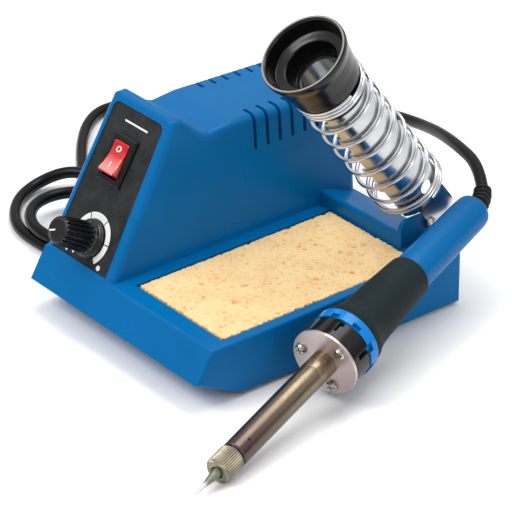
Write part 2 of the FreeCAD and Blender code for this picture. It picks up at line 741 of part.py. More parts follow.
def made_control_knob():
    """The potentiometer behind the panel, its nut, its shaft and the knob pressed on it."""
    at = on_panel(S["knob_x"], S["knob_v"], PANEL_FACE)
    behind = S["wall"] + PANEL_FACE
    can = cylinder(
        "pot_can", "pot_r", "pot_deep", Placement(Vector(0, 0, -behind - S["pot_deep"]), Rotation())
    )
    bush = cylinder("pot_bush", "bush_r", behind + 3.2, Placement(Vector(0, 0, -behind), Rotation()))
    bore = cylinder(
        "pot_bore", "shaft_r + snug", "pot_deep + 8",
        Placement(Vector(0, 0, 2 - behind - S["pot_deep"]), Rotation())
    )
    tags = [box(f"pot_tag_{i}", 1.6, 12, 0.5) for i in range(3)]
    for i, tag in enumerate(tags):
        tag.Placement.Base = Vector(-5.8 + 5 * i, -S["pot_r"] - 8, -behind - 3)
    keep("potentiometer", cut("pot_cut", joined("pot_parts", can, bush, *tags), bore), at)

    nut = add("Part::Prism", "nut_hex", None, Circumradius="pot_nut_r", Height=2)
    hole = cylinder("nut_hole", "bush_r + snug", 4, Placement(Vector(0, 0, -1), Rotation()))
    keep(
        "potentiometer_nut", cut("pot_nut_cut", nut, hole),
        at.multiply(Placement(Vector(0, 0, S["snug"]), Rotation()))
    )

    low = -behind - S["pot_deep"] + 2.5
    shaft = cylinder(
        "shaft_rod", "shaft_r", f"knob_tall - 3 - {low}", Placement(Vector(0, 0, low), Rotation())
    )
    flat = box("shaft_flat", 8, 4, 14, Placement(Vector(-4, S["shaft_r"] - 0.7, 4.5), Rotation()))
    keep("potentiometer_shaft", cut("shaft_cut", shaft, flat), at)

    knob = turned("knob_turned", [
        ("shaft_r + snug", "knob_gap + 3.2"), (6.6, "knob_gap + 3.2"), (6.6, "knob_gap"),
        ("knob_skirt_r", "knob_gap"), ("knob_skirt_r", "knob_gap + 1.4"), ("knob_foot_r", "knob_gap + 2.6"),
        ("knob_face_r", "knob_tall - 0.8"), ("knob_face_r - 0.7", "knob_tall"), (0, "knob_tall"),
        (0, "knob_tall - 2.8"), ("shaft_r + snug", "knob_tall - 2.8"),
    ])
    keep("control_knob", knob, at)


# ---------------------------------------------------------------- inside the housing


def made_electronics():
    """A phase-control board on the bottom cover: it chops the mains for the iron."""
    x, y = S["board_x"], S["board_y"]
    top = S["board_z"] + S["board_t"]
    board = oblong("board_x", "board_y", "board_wide", "board_long")
    keep("circuit_board", plate("board_plate", board, "board_t"),
         Placement(Vector(0, 0, S["board_z"]), Rotation()))
    low = S["foot_z"] + S["cover_t"]
    posts = []
    for i, (across, along) in enumerate(((4, 4), (30, 4), (4, 46), (30, 46))):
        at = Placement(Vector(x + across, y + along, low), Rotation())
        posts.append(cylinder(f"post_{i}", 2.5, f"board_z - {low}", at))
    group("board_posts", posts)

    def stand(thing, across, along, up=0.0):
        thing.Placement.Base = Vector(x + across, y + along, top + up)
        return thing

    keep("film_capacitor", stand(box("capacitor_block", 8.5, 18, 14), 3, 24))
    choke = turned("choke_turned", [(3, 0), (8, 0), (8, 9), (3, 9)])
    keep("choke_coil", stand(choke, 19.7, 32))
    keep(
        "heat_sink",
        stand(
            plate(
                "sink_plate", [(0, 0), (22, 0), (22, 2), (12, 2), (12, 10), (10, 10), (10, 2), (0, 2)],
                25
            ),
            6, 6
        )
    )
    keep("triac", stand(box("triac_block", 10, 4.6, 15), 16, 1.3, 3))
    rear_clip = box("fuse_clip_b", 6, 5, 7, Placement(Vector(0, 17, 0), Rotation()))
    holder = joined("fuse_clips", box("fuse_clip_a", 6, 5, 7), rear_clip,
                    box("fuse_floor", 6, 22, 1.5))
    keep(
        "fuse_holder",
        stand(
            cut(
                "fuse_holder_cut", holder,
                cylinder("fuse_room", 2.62, 30, Placement(Vector(3, -2, 4.6), Rotation(X, -90)))
            ),
            28, 22
        )
    )
    fuse = cylinder("fuse_rod", 2.57, 20, Placement(Vector(3, 1, 4.6), Rotation(X, -90)))
    keep("fuse", fuse, Placement(Vector(x + 28, y + 22, top), Rotation()))
    keep("terminal_block", stand(box("terminal_body", 15, 9, 10), 12, 40.6))


def made_gland(label, x):
    """A bush snapped into the rear wall: a flange outside, a lip inside and a hole for the lead."""
    inside = S["wall"] + S["snug"]
    gland = turned(label + "_turned", [
        ("lead_r + snug", f"-{inside + 3}"), ("gland_r - 0.6", f"-{inside + 3}"),
        ("gland_r + 0.5", f"-{inside + 1}"),
        ("gland_r + 0.5", f"-{inside}"), ("gland_r", f"-{inside}"), ("gland_r", 0), ("gland_head_r", 0),
        ("gland_head_r", "gland_head_t * 0.5"), ("gland_r + 0.2", "gland_head_t"),
        ("lead_r + snug", "gland_head_t"),
    ])
    keep(label, gland, Placement(Vector(x, S["depth"], S["gland_z"]), Rotation(X, -90)))


def made_sponge():
    at = Vector(S["sponge_left"], S["sponge_front"], S["rim_top"] - S["sponge_t"] + S["snug"])
    keep(
        "cleaning_sponge", box("sponge_block", "sponge_wide", "sponge_long", "sponge_t"),
        Placement(at, Rotation())
    )


# ---------------------------------------------------------------- the holder


def made_funnel():
    """Stepped funnel: the iron's disc rests on the step and its barrel goes through the bore."""
    keep("holder_funnel", turned("funnel_turned", [
        ("funnel_bore_r", "sleeve_low"), ("sleeve_r", "sleeve_low"), ("sleeve_r", "coil_high + 1.2"),
        ("funnel_waist_r", "coil_high + 1.6"), ("funnel_waist_r + 0.8", "funnel_top - 14"),
        ("funnel_r - 1", "funnel_top - 6"), ("funnel_r", "funnel_top - 2.5"),
        ("funnel_r", "funnel_top - 0.4"),
        ("funnel_r - 0.4", "funnel_top"), ("funnel_r - 1.2", "funnel_top"),
        ("disc_r + 0.4", "funnel_top - 7"),
        ("funnel_bore_r + 2.2", "funnel_top - 7.8"), ("funnel_bore_r + 0.6", "funnel_top - 16"),
        ("funnel_bore_r", "funnel_top - 16.6"),
    ]), HOLDER)


def made_spring():
    """One wire with closed turns at both ends and open turns between them.

    It is swept in short lengths that meet end to end, so that each one's collision hull is small
    and the inside of the coil stays open.
    """
    closed, opened = S["closed_turns"], S["open_turns"]
    low_end = S["coil_low"] + closed * S["coil_close"]
    high_start = S["coil_high"] - closed * S["coil_close"]
    pitch = (high_start - low_end) / opened

    def wire_at(turn):
        in_low, in_open = min(turn, closed), min(max(turn - closed, 0), opened)
        in_high = max(turn - closed - opened, 0)
        z = S["coil_low"] + (in_low + in_high) * S["coil_close"] + in_open * pitch
        angle = 2 * math.pi * turn
        return Vector(S["coil_r"] * math.cos(angle), S["coil_r"] * math.sin(angle), z)

    count = round((2 * closed + opened) * S["wire_lengths"])
    lengths = []
    for i in range(count):
        start, middle, end = (wire_at((i + part) / S["wire_lengths"]) for part in (0, 0.5, 1))
        arc = Part.Arc(start, middle, end).toShape()
        ring = Part.Wire(Part.makeCircle(S["wire_r"], start, arc.tangentAt(arc.FirstParameter)))
        lengths.append(Part.Wire(arc).makePipeShell([ring], True, True))
    keep("holder_spring", shaped("spring_wire", Part.makeCompound(lengths)), HOLDER)


def made_strip():
    """A half pipe inside the spring, open to the left, that runs down into a flat tongue."""
    outer, inner = S["strip_r"], S["strip_r"] - S["strip_t"]
    ring = Part.makeCylinder(outer, S["sleeve_low"] - S["snug"]).cut(Part.makeCylinder(inner, 200))
    half = math.radians(S["strip_half"])
    far = 2 * outer
    fan = [Vector(0, 0, 0), Vector(far * math.cos(half), -far * math.sin(half), 0),
           Vector(far * 3, 0, 0), Vector(far * math.cos(half), far * math.sin(half), 0)]
    sector = Part.Face(Part.makePolygon(fan + fan[:1])).extrude(Z * 200)
    strip = ring.common(sector)
    tongue_wire = rounded(
        [Vector(inner, w * S["tongue_wide"] / 2, z) for w, z in
         ((-1, 2), (-1, -S["tongue_low"]), (1, -S["tongue_low"]), (1, 2))],
        [0, 2, 4, 0],
    )
    tongue = Part.Face(tongue_wire).extrude(X * S["strip_t"])
    hole = Part.makeCylinder(3.2, 10, Vector(inner - 5, 1.5, 9), X)
    strip = strip.fuse(tongue).cut(hole)
    at = HOLDER.inverse().multVec(holder_screw_place().Base)
    strip = strip.cut(Part.makeCylinder(S["screw_r"] + S["snug"], 8, Vector(inner - 4, at.y, at.z), X))
    keep("holder_strip", shaped("strip_sheet", strip.removeSplitter()), HOLDER)
    face = Vector(
        S["holder_x"] + outer + S["snug"], holder_screw_place().Base.y, holder_screw_place().Base.z
    )
    held = screw("holder_screw_made", 3.2, Placement(face, Rotation(Y, -90)))
    keep("holder_screw", held)


# ---------------------------------------------------------------- the iron


def notched(name, body, count, radius, low, high, wide, deep):
    """The piece with square notches round its edge."""
    tools = []
    for i in range(int(count)):
        turn = Rotation(Z, 360 * i / count)
        tool = box(f"{name}_notch_{i}", deep + 4, wide, high - low)
        tool.Placement = Placement(turn.multVec(Vector(radius - deep, -wide / 2, low)), turn)
        tools.append(tool)
    return cut(name, body, *tools)


def made_iron():
    """Everything is turned about the iron's own axis, and heights are from the tip's point."""
    keep("iron_tip", turned("tip_turned", [
        (0, 0), ("tip_end_r", 0.15), ("tip_tin_r", "tip_tin"), ("tip_r", "nut_front + 0.5"),
        ("tip_r", "nut_front + 4"),
        (4.4, "nut_front + 4"), (4.4, "nut_front + 5"), ("tip_r", "nut_front + 5"), ("tip_r", 34), (0, 34),
    ]), IRON)
    keep("tip_nut", turned("nut_turned", [
        ("tip_r + 0.5", "nut_front"), ("nut_nose_r", "nut_front"), ("nut_r", "nut_front + nut_nose"),
        ("nut_r", "nut_back"),
        (5.05, "nut_back"), (5.05, "nut_front + 3.9"), ("tip_r + 0.5", "nut_front + 3.9"),
    ]), IRON)
    keep("barrel", turned("barrel_turned", [
        (4.3, "nut_front + 5.1"), (5, "nut_front + 5.1"), (5, "nut_back + 0.8"),
        ("barrel_r", "nut_back + 0.8"),
        ("barrel_r", "disc_at + 8"), ("barrel_r - barrel_t", "disc_at + 8"),
        ("barrel_r - barrel_t", "nut_back + 2"),
        (4.3, "nut_back + 2"),
    ]), IRON)
    keep("heating_element", turned("heater_turned", [
        (0, 34.3), ("barrel_r - barrel_t - 0.6", 34.3), ("barrel_r - barrel_t - 0.6", "disc_at + 6"),
        (0, "disc_at + 6"),
    ]), IRON)
    disc = turned("disc_turned", [
        ("barrel_r + snug", "disc_at"), ("disc_r - 0.2", "disc_at"), ("disc_r", "disc_at + 0.2"),
        ("disc_r", "disc_at + disc_t"), ("barrel_r + snug", "disc_at + disc_t"),
    ])
    screws_at = [
        Rotation(Z, S["screw_turn"] + 120 * i).multVec(Vector(S["screw_out"], 0, 0))
        for i in range(3)
    ]
    holes = [
        cylinder(f"disc_hole_{i}", 1.3, 6, Placement(p + Z * (S["disc_at"] - 2), Rotation()))
        for i, p in enumerate(screws_at)
    ]
    keep("heat_shield_disc", cut("disc_cut", disc, *holes), IRON)
    flange_screws = []
    for i, place in enumerate(screws_at):
        at = IRON.multiply(Placement(place + Z * (S["disc_at"] - S["snug"]), Rotation()))
        flange_screws.append(screw(f"disc_screw_{i}", 7, at, 2.7, 1.7, 1.2))
    group("disc_screws", flange_screws)

    front = S["disc_at"] + S["disc_t"] + S["snug"]
    back = front + S["collar_long"]
    collar = turned("collar_turned", [
        ("barrel_r + snug", front), ("collar_r + 0.5", front), ("collar_r + 0.5", f"{front} + 1.6"),
        ("collar_r", f"{front} + 1.9"), ("collar_r", back), ("barrel_r + snug", back),
    ])
    holes = [
        cylinder(f"collar_hole_{i}", 1.25, 7, Placement(p + Z * (front - 1), Rotation()))
        for i, p in enumerate(screws_at)
    ]
    collar = cut("collar_drilled", collar, *holes)
    keep(
        "heat_collar",
        notched(
            "collar_notched", collar, S["collar_notches"], S["collar_r"], front + 4, back + 1, 2.4, 1.6
        ),
        IRON
    )

    low = back + S["snug"]
    high = low + S["ring_long"]
    ring = turned(
        "ring_turned",
        [("handle_r - 0.3", low), ("ring_r", low), ("ring_r", high), ("handle_r - 0.3", high)]
    )
    keep(
        "handle_ring",
        notched("ring_notched", ring, S["ring_notches"], S["ring_r"], low - 1, low + 2.4, 4, 1.8), IRON
    )

    grip_low = high + S["snug"]
    keep("rubber_grip", turned("grip_turned", [
        ("handle_r - 0.3", grip_low),
        ("handle_r + grip_flare_t - 0.6", grip_low),
        ("handle_r + grip_flare_t", f"{grip_low} + 0.8"),
        ("handle_r + grip_flare_t", f"{grip_low} + 3.5"),
        ("handle_r + grip_flare_t - 1.1", f"{grip_low} + 6"),
        ("handle_r + grip_neck_t + 0.4", f"{grip_low} + 9.5"),
        ("handle_r + grip_neck_t", f"{grip_low} + 14"),
        ("handle_r + (grip_neck_t + grip_end_t) / 2", f"{grip_low} + 30"),
        ("handle_r + grip_end_t", "grip_end - 1.2"),
        ("handle_r + grip_end_t - 1", "grip_end"),
        ("handle_r - 0.3", "grip_end"),
    ]), IRON)
    keep("handle", turned("handle_turned", [
        ("handle_r - handle_t - 0.4", f"{low}"), ("handle_r - 0.35", f"{low}"),
        ("handle_r - 0.35", "grip_end + 0.1"), ("handle_r", "grip_end + 0.1"),
        ("handle_end_r", "handle_end - 3"), ("handle_end_r - 0.5", "handle_end - 1.5"),
        ("handle_end_r - 1.7", "handle_end - 0.4"),
        ("handle_end_r - 3", "handle_end"), (3.55, "handle_end"), (3.55, "handle_end - 2.5"),
        ("handle_end_r - handle_t - 0.4", "handle_end - 2.5"),
    ]), IRON)


# ---------------------------------------------------------------- the lead

# Where the strain relief points, and the corners of the lead's route after it: level behind the
# holder, down to the bench behind the housing, forward to two loops beside the left wall, then back
# to its gland.
RELIEF_AIM = (94, 178, 50.5)
LEAD_ROUTE = [
    (71, 188, 47.5), (48, 198, 41.5), (25, 207, 34), (0, 211, 28), (-26, 205, 24), (-52, 194, 19),
    (-77, 180, 12), (-100, 168, 5.5), (-118, 161, 2.9), (-131, 151, 2.9), (-134, 136, 2.9),
    (-126, 122, 2.9), (-113, 109.5, 2.9), (-98, 98, 2.9), (-82, 87.5, 2.9), (-62, 79, 2.9),
    (-42, 76, 2.9), (-25, 71, 2.9), (-13, 60, 2.9), (-12, 45, 2.9), (-22, 34.5, 2.9), (-40, 32.5, 2.9),
    (-58, 33, 2.9), (-73, 41, 2.9), (-84, 52.5, 3), (-87.5, 66, 4.6), (-81.5, 77.5, 8.9),
    (-70, 84.5, 9.4), (-56.5, 87.5, 8), (-43, 86.5, 5.2), (-30, 80.5, 7), (-17.5, 69, 9),
    (-12, 54, 8.9), (-18, 40, 8.9), (-35, 32, 8.9),
    (-52, 35, 8.9), (-64, 46, 8.9), (-66, 60, 8.9), (-58, 72, 9.6), (-50, 83, 12.6), (-45, 93, 12.2),
    (-40, 109, 6.5), (-37, 128, 3.2), (-36, 149, 2.9), (-33, 171, 3.6), (-20, 187, 7), (0, 187, 13.5),
]


def relief_path():
    """The strain relief bends from the iron's axis towards the lead's first corner."""
    start = TIP + IRON_AXIS * S["handle_end"]
    toward = (Vector(*RELIEF_AIM) - start).normalize()
    side = (toward - IRON_AXIS * toward.dot(IRON_AXIS)).normalize()
    turn = toward.getAngle(IRON_AXIS) * 1.12
    bend = S["relief_bend"]

    def at(angle):
        return start + IRON_AXIS * (bend * math.sin(angle)) + side * (bend * (1 - math.cos(angle)))

    end_way = IRON_AXIS * math.cos(turn) + side * math.sin(turn)
    return start, at(turn / 2), at(turn), end_way


def made_relief():
    start, middle, end, end_way = relief_path()
    radius = S["relief_r"]
    arc = Part.Wire([Part.Arc(start, middle, end).toShape()])
    ring = Part.Wire(Part.makeCircle(radius, start, IRON_AXIS))
    sleeve = arc.makePipeShell([ring], True, True)
    stem = Part.makeCylinder(3.5, 6, start - IRON_AXIS * 6, IRON_AXIS)
    keep("strain_relief", shaped("relief_sleeve", sleeve.fuse(stem)))


def lead_points():
    """The relief's end, the chosen corners, and the middle of the gland's bore."""
    start, _, end, end_way = relief_path()
    in_gland = Vector(S["lead_gland_x"], S["depth"] - 1, S["gland_z"])
    return [end, end + end_way * 15] + [Vector(*p) for p in LEAD_ROUTE] + [in_gland + Y * 21, in_gland]


def made_lead():
    points = lead_points()
    runs = [(b - a).Length for a, b in zip(points, points[1:])]
    radii = [0.0]
    for i in range(1, len(points) - 1):
        turn = (points[i] - points[i - 1]).getAngle(points[i + 1] - points[i])
        radii.append(0.45 * min(runs[i - 1], runs[i]) / math.tan(turn / 2))
    radii.append(0.0)
    path = rounded(points, radii, closed=False)
    ring = Part.Wire(Part.makeCircle(S["lead_r"], points[0], points[1] - points[0]))
    lead = path.makePipeShell([ring], True, False)
    keep("iron_lead", shaped("lead_tube", lead))
    expected = math.pi * S["lead_r"] ** 2 * path.Length
    print(
        "lead length %.0f mm, volume over section times length %.4f" % (
            path.Length, lead.Volume / expected
        )
    )
    print("lead runs", [round(r) for r in runs])
    print("lead radii", [round(r) for r in radii[1:-1]])


# ---------------------------------------------------------------- all together


def main():
    keep("case_shell", shaped("case_moulding", made_case()))
    made_cover()
    made_feet_and_screws()
    made_panel()
    made_switch()
    made_control_knob()
    made_electronics()
    made_gland("lead_gland", S["lead_gland_x"])
    made_gland("mains_gland", S["mains_gland_x"])
    made_sponge()
    made_funnel()
    made_spring()
    made_strip()
    made_iron()
    made_relief()
    made_lead()
    doc.recompute()
    bad = [o.Name for o in doc.Objects if {"Invalid", "Error"} & set(o.State)]
    bad += [
        k
        for k, o in pieces.items() if o.Shape.isNull() or not o.Shape.isValid() or o.Shape.Volume <= 0
    ]
    if bad:
        raise RuntimeError(f"these did not come out: {bad}")
    whole = FreeCAD.BoundBox()
    for label, piece in pieces.items():
        if label != "iron_lead":
            whole.add(piece.Shape.BoundBox)
    shift = Placement(Vector(-whole.Center.x, -whole.Center.y, -whole.ZMin), Rotation())
    print(
        "origin is at", [round(v, 3) for v in (whole.Center.x, whole.Center.y, whole.ZMin)],
        "of the layout"
    )
    os.makedirs("parts", exist_ok=True)
    for label, piece in pieces.items():
        piece.Placement = shift.multiply(piece.Placement)
    doc.recompute()
    for label, piece in pieces.items():
        piece.Shape.exportStep(f"parts/{label}.step")
        print(label, "solids", len(piece.Shape.Solids), "mm3 %.0f" % piece.Shape.Volume)


main()
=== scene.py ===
import math

import bmesh
import bpy
import numpy as np
from mathutils import Matrix, Vector


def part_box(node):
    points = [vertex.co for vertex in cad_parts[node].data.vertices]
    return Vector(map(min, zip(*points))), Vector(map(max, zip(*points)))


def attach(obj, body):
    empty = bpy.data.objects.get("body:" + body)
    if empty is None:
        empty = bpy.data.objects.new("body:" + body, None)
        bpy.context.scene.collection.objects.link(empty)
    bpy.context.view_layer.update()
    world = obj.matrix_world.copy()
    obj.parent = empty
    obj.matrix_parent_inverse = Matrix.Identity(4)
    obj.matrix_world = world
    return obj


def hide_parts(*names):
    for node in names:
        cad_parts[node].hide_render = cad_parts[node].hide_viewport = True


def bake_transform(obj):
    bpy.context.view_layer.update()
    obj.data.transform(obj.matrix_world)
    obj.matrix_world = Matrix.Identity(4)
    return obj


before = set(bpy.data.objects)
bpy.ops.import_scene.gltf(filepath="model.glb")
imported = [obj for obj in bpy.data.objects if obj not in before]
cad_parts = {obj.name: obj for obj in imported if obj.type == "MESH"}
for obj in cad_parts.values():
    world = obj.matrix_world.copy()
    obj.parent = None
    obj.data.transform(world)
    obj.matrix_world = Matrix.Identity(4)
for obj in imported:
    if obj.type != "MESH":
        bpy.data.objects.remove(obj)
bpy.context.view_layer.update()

# The station's layout is in millimetres from its front left corner; the row frame is in metres.
LAYOUT_ORIGIN = np.array([86.044, 67.903, 0.0])
MM = 0.001


def lay(points):
    """Layout millimetres as row frame metres."""
    return (np.asarray(points, float) - LAYOUT_ORIGIN) * MM


def unit(vector):
    """The vector at length one."""
    vector = np.asarray(vector, float)
    return vector / np.linalg.norm(vector)


class Place:
    """Local axes in the layout: an origin and three unit vectors."""

    def __init__(self, origin, x, y, z):
        self.origin = np.asarray(origin, float)
        self.axes = np.array([unit(x), unit(y), unit(z)])

    def at(self, points):
        """Local millimetres as row frame metres."""
        return lay(self.origin + np.asarray(points, float) @ self.axes)

    def moved(self, by):
        """The same axes, with the origin moved by local millimetres."""
        return Place(self.origin + np.asarray(by, float) @ self.axes, *self.axes)


def least_turn(z):
    """Axes x and y that come from turning +Z the shortest way onto z."""
    z = unit(z)
    turn = Vector((0, 0, 1)).rotation_difference(Vector(z)).to_matrix()
    return [np.array(turn @ Vector(axis)) for axis in ((1, 0, 0), (0, 1, 0))] + [z]


LEAN = math.radians(31.45)
UP_SLOPE = np.array([0, math.sin(LEAN), math.cos(LEAN)])
OUT_OF_PANEL = np.array([0, -math.cos(LEAN), math.sin(LEAN)])
FRONT = Place((0, 0, 13.8), (1, 0, 0), UP_SLOPE, OUT_OF_PANEL)
PANEL_FACE = -0.4
# Places on the panel: across and up the slope from the layout's corner.
KNOB_CENTRE = (24.9, 29.5)
ROCKER_CENTRE = (21.3, 65.6)
DIAL_ENDS_UP = 20.0
HOLDER_LEAN = math.radians(36.5)
HOLDER = Place((90, 144.6, 46.7), (1, 0, 0), (0, math.cos(HOLDER_LEAN), math.sin(HOLDER_LEAN)),
               (0, -math.sin(HOLDER_LEAN), math.cos(HOLDER_LEAN)))
IRON_TIP = np.array([170.4, -39.8, 3.0799])
IRON_AXIS = unit([-0.262442, 0.946993, 0.185278])
IRON = Place(IRON_TIP, *least_turn(IRON_AXIS))
# Along the iron from its tip: where the shield disc starts, what is stacked on it, and the far end.
SHIELD_AT, DISC_THICK, COLLAR_LONG, RING_LONG, STACK_GAP = 92, 1.2, 10.8, 5.4, 0.05
IRON_LONG = 211


# ---------------------------------------------------------------- finishes


def linear(rgb):
    """A colour on a 0 to 255 scale as Blender's linear values."""
    c = np.array(rgb, float) / 255
    return tuple(np.where(c <= 0.04045, c / 12.92, ((c + 0.055) / 1.055) ** 2.4)) + (1.0,)


def new_group(name, inputs, outputs):
    group = bpy.data.node_groups.new(name, "ShaderNodeTree")
    for label, kind, value in inputs:
        socket = group.interface.new_socket(label, in_out="INPUT", socket_type=kind)
        if value is not None:
            socket.default_value = value
    for label, kind in outputs:
        group.interface.new_socket(label, in_out="OUTPUT", socket_type=kind)
    nodes = group.nodes
    return group, nodes.new("NodeGroupInput"), nodes.new("NodeGroupOutput"), nodes, group.links


def moulded_surface():
    """Grain, mottle and fine specks of a moulded or worked surface, from Object coordinates; the specks
    are dust, and on the red rocker they are painted glints.

    Grain tips the normal, Mottle is a slow change from 0 to 1, and Specks is 1 on a few tiny spots.
    """
    group, enter, leave, nodes, links = new_group(
        "moulded_surface",
        [("Grain Scale", "NodeSocketFloat", 900.0), ("Grain Depth", "NodeSocketFloat", 0.1),
         ("Mottle Scale", "NodeSocketFloat", 25.0), ("Stretch", "NodeSocketVector", (1, 1, 1))],
        [("Normal", "NodeSocketVector"), ("Mottle", "NodeSocketFloat"), ("Specks", "NodeSocketFloat")],
    )
    coords = nodes.new("ShaderNodeTexCoord")
    stretch = nodes.new("ShaderNodeVectorMath")
    stretch.operation = "MULTIPLY"
    links.new(coords.outputs["Object"], stretch.inputs[0])
    links.new(enter.outputs["Stretch"], stretch.inputs[1])
    grain = nodes.new("ShaderNodeTexNoise")
    grain.inputs["Detail"].default_value = 4
    links.new(stretch.outputs[0], grain.inputs["Vector"])
    links.new(enter.outputs["Grain Scale"], grain.inputs["Scale"])
    bump = nodes.new("ShaderNodeBump")
    bump.inputs["Distance"].default_value = 0.0004
    links.new(enter.outputs["Grain Depth"], bump.inputs["Strength"])
    links.new(grain.outputs["Fac"], bump.inputs["Height"])
    links.new(bump.outputs["Normal"], leave.inputs["Normal"])
    mottle = nodes.new("ShaderNodeTexNoise")
    mottle.inputs["Detail"].default_value = 5
    mottle.inputs["Roughness"].default_value = 0.6
    links.new(coords.outputs["Object"], mottle.inputs["Vector"])
    links.new(enter.outputs["Mottle Scale"], mottle.inputs["Scale"])
    spread = nodes.new("ShaderNodeMapRange")
    spread.inputs["From Min"].default_value = 0.3
    spread.inputs["From Max"].default_value = 0.7
    links.new(mottle.outputs["Fac"], spread.inputs["Value"])
    links.new(spread.outputs["Result"], leave.inputs["Mottle"])
    specks = nodes.new("ShaderNodeTexVoronoi")
    specks.inputs["Scale"].default_value = 160
    links.new(coords.outputs["Object"], specks.inputs["Vector"])
    near = nodes.new("ShaderNodeMapRange")
    near.inputs["From Min"].default_value = 0.09
    near.inputs["From Max"].default_value = 0.03
    links.new(specks.outputs["Distance"], near.inputs["Value"])
    links.new(near.outputs["Result"], leave.inputs["Specks"])
    return group


MOULDED_SURFACE = moulded_surface()


def finish(name, colour, rough, second=None, metal=0.0, coat=0.0, grain=(900, 0.1), mottle=25,
           stretch=(1, 1, 1), rough_span=0.06, specks=0.0, attribute=None, sheen=0.0, shine=0.5):
    """A Principled material whose colour, roughness and normal change over the surface.

    The colour runs from the first to the second with the mottle, or with a named attribute of the
    mesh where one is given.
    """
    material = bpy.data.materials.new(name)
    material.use_nodes = True
    nodes, links = material.node_tree.nodes, material.node_tree.links
    shader = nodes["Principled BSDF"]
    shader.inputs["Metallic"].default_value = metal
    shader.inputs["Coat Weight"].default_value = coat
    shader.inputs["Coat Roughness"].default_value = 0.06
    shader.inputs["IOR"].default_value = 1.5
    shader.inputs["Specular IOR Level"].default_value = shine
    shader.inputs["Sheen Weight"].default_value = sheen
    surface = nodes.new("ShaderNodeGroup")
    surface.node_tree = MOULDED_SURFACE
    surface.inputs["Grain Scale"].default_value = grain[0]
    surface.inputs["Grain Depth"].default_value = grain[1]
    surface.inputs["Mottle Scale"].default_value = mottle
    surface.inputs["Stretch"].default_value = stretch
    links.new(surface.outputs["Normal"], shader.inputs["Normal"])
    second = second or tuple(max(0, c * 0.9) for c in colour)
    mix = nodes.new("ShaderNodeMix")
    mix.data_type = "RGBA"
    mix.inputs["A"].default_value = linear(colour)
    mix.inputs["B"].default_value = linear(second)
    factor = surface.outputs["Mottle"]
    if attribute:
        reader = nodes.new("ShaderNodeAttribute")
        reader.attribute_name = attribute
        factor = reader.outputs["Fac"]
    links.new(factor, mix.inputs["Factor"])
    colour_out = mix.outputs["Result"]
    # Lighter specks: dust on most finishes, painted glints on the red rocker.
    if specks:
        dust_and_glint = nodes.new("ShaderNodeMix")
        dust_and_glint.data_type = "RGBA"
        dust_and_glint.inputs["B"].default_value = linear([min(255, c + 60) for c in colour])
        amount = nodes.new("ShaderNodeMath")
        amount.operation = "MULTIPLY"
        amount.inputs[1].default_value = specks
        links.new(surface.outputs["Specks"], amount.inputs[0])
        links.new(amount.outputs[0], dust_and_glint.inputs["Factor"])
        links.new(colour_out, dust_and_glint.inputs["A"])
        colour_out = dust_and_glint.outputs["Result"]
    links.new(colour_out, shader.inputs["Base Color"])
    span = nodes.new("ShaderNodeMapRange")
    span.inputs["To Min"].default_value = rough
    span.inputs["To Max"].default_value = rough + rough_span
    links.new(surface.outputs["Mottle"], span.inputs["Value"])
    links.new(span.outputs["Result"], shader.inputs["Roughness"])
    return material


BLUE = finish("blue_abs", (0, 98, 157), 0.26, (0, 90, 146), coat=0.03, grain=(1400, 0.05), mottle=18,
              shine=0.1)
RING_BLUE = finish("bright_blue", (0, 120, 196), 0.2, (0, 110, 182), coat=0.1, grain=(1400, 0.05),
                   shine=0.2)
PANEL = finish("printed_panel", (26, 28, 31), 0.5, (46, 48, 50), grain=(2200, 0.6), mottle=140,
               specks=0.25, shine=0.12)
PHENOLIC = finish("black_phenolic", (8, 8, 9), 0.18, (15, 14, 14), coat=0.12, grain=(700, 0.1), shine=0.25)
# Black moulded plastic, and also the black disc that is painted shade in the barrel's vent hole.
MATTE_BLACK = finish("moulded_black_and_vent_shade", (9, 9, 10), 0.2, (16, 16, 17), grain=(1800, 0.1), coat=0.15,
                     shine=0.4)
SWITCH_BLACK = finish("switch_black", (12, 12, 13), 0.25, (19, 19, 20), grain=(2200, 0.15), shine=0.3)
# The rocker's pale colour, put on the lower part of its top face by the down attribute, is a painted glow
# of light; its light specks are painted glints.
RED = finish("red_rocker", (232, 128, 124), 0.12, (188, 6, 16), coat=0.5, grain=(700, 0.1),
             attribute="down", specks=0.2)
GRIP = finish("grip_rubber", (26, 38, 40), 0.6, (19, 29, 31), grain=(1500, 0.35), mottle=45,
              specks=0.12, sheen=0.02, shine=0.1)
RUBBER = finish("black_rubber", (18, 19, 20), 0.5, (27, 28, 29), grain=(1800, 0.2), shine=0.2)
LEAD = finish("lead_jacket", (6, 6, 7), 0.26, (11, 11, 12), grain=(900, 0.05), mottle=80, shine=0.14,
              coat=0.04)
CHROME = finish("bright_wire", (214, 214, 216), 0.1, (190, 190, 194), metal=1, grain=(600, 0.03),
                rough_span=0.08)
STRIP = finish("rolled_strip", (205, 205, 208), 0.13, (176, 178, 182), metal=1, grain=(500, 0.12),
               stretch=(1, 0.25, 0.25), rough_span=0.12, mottle=60)
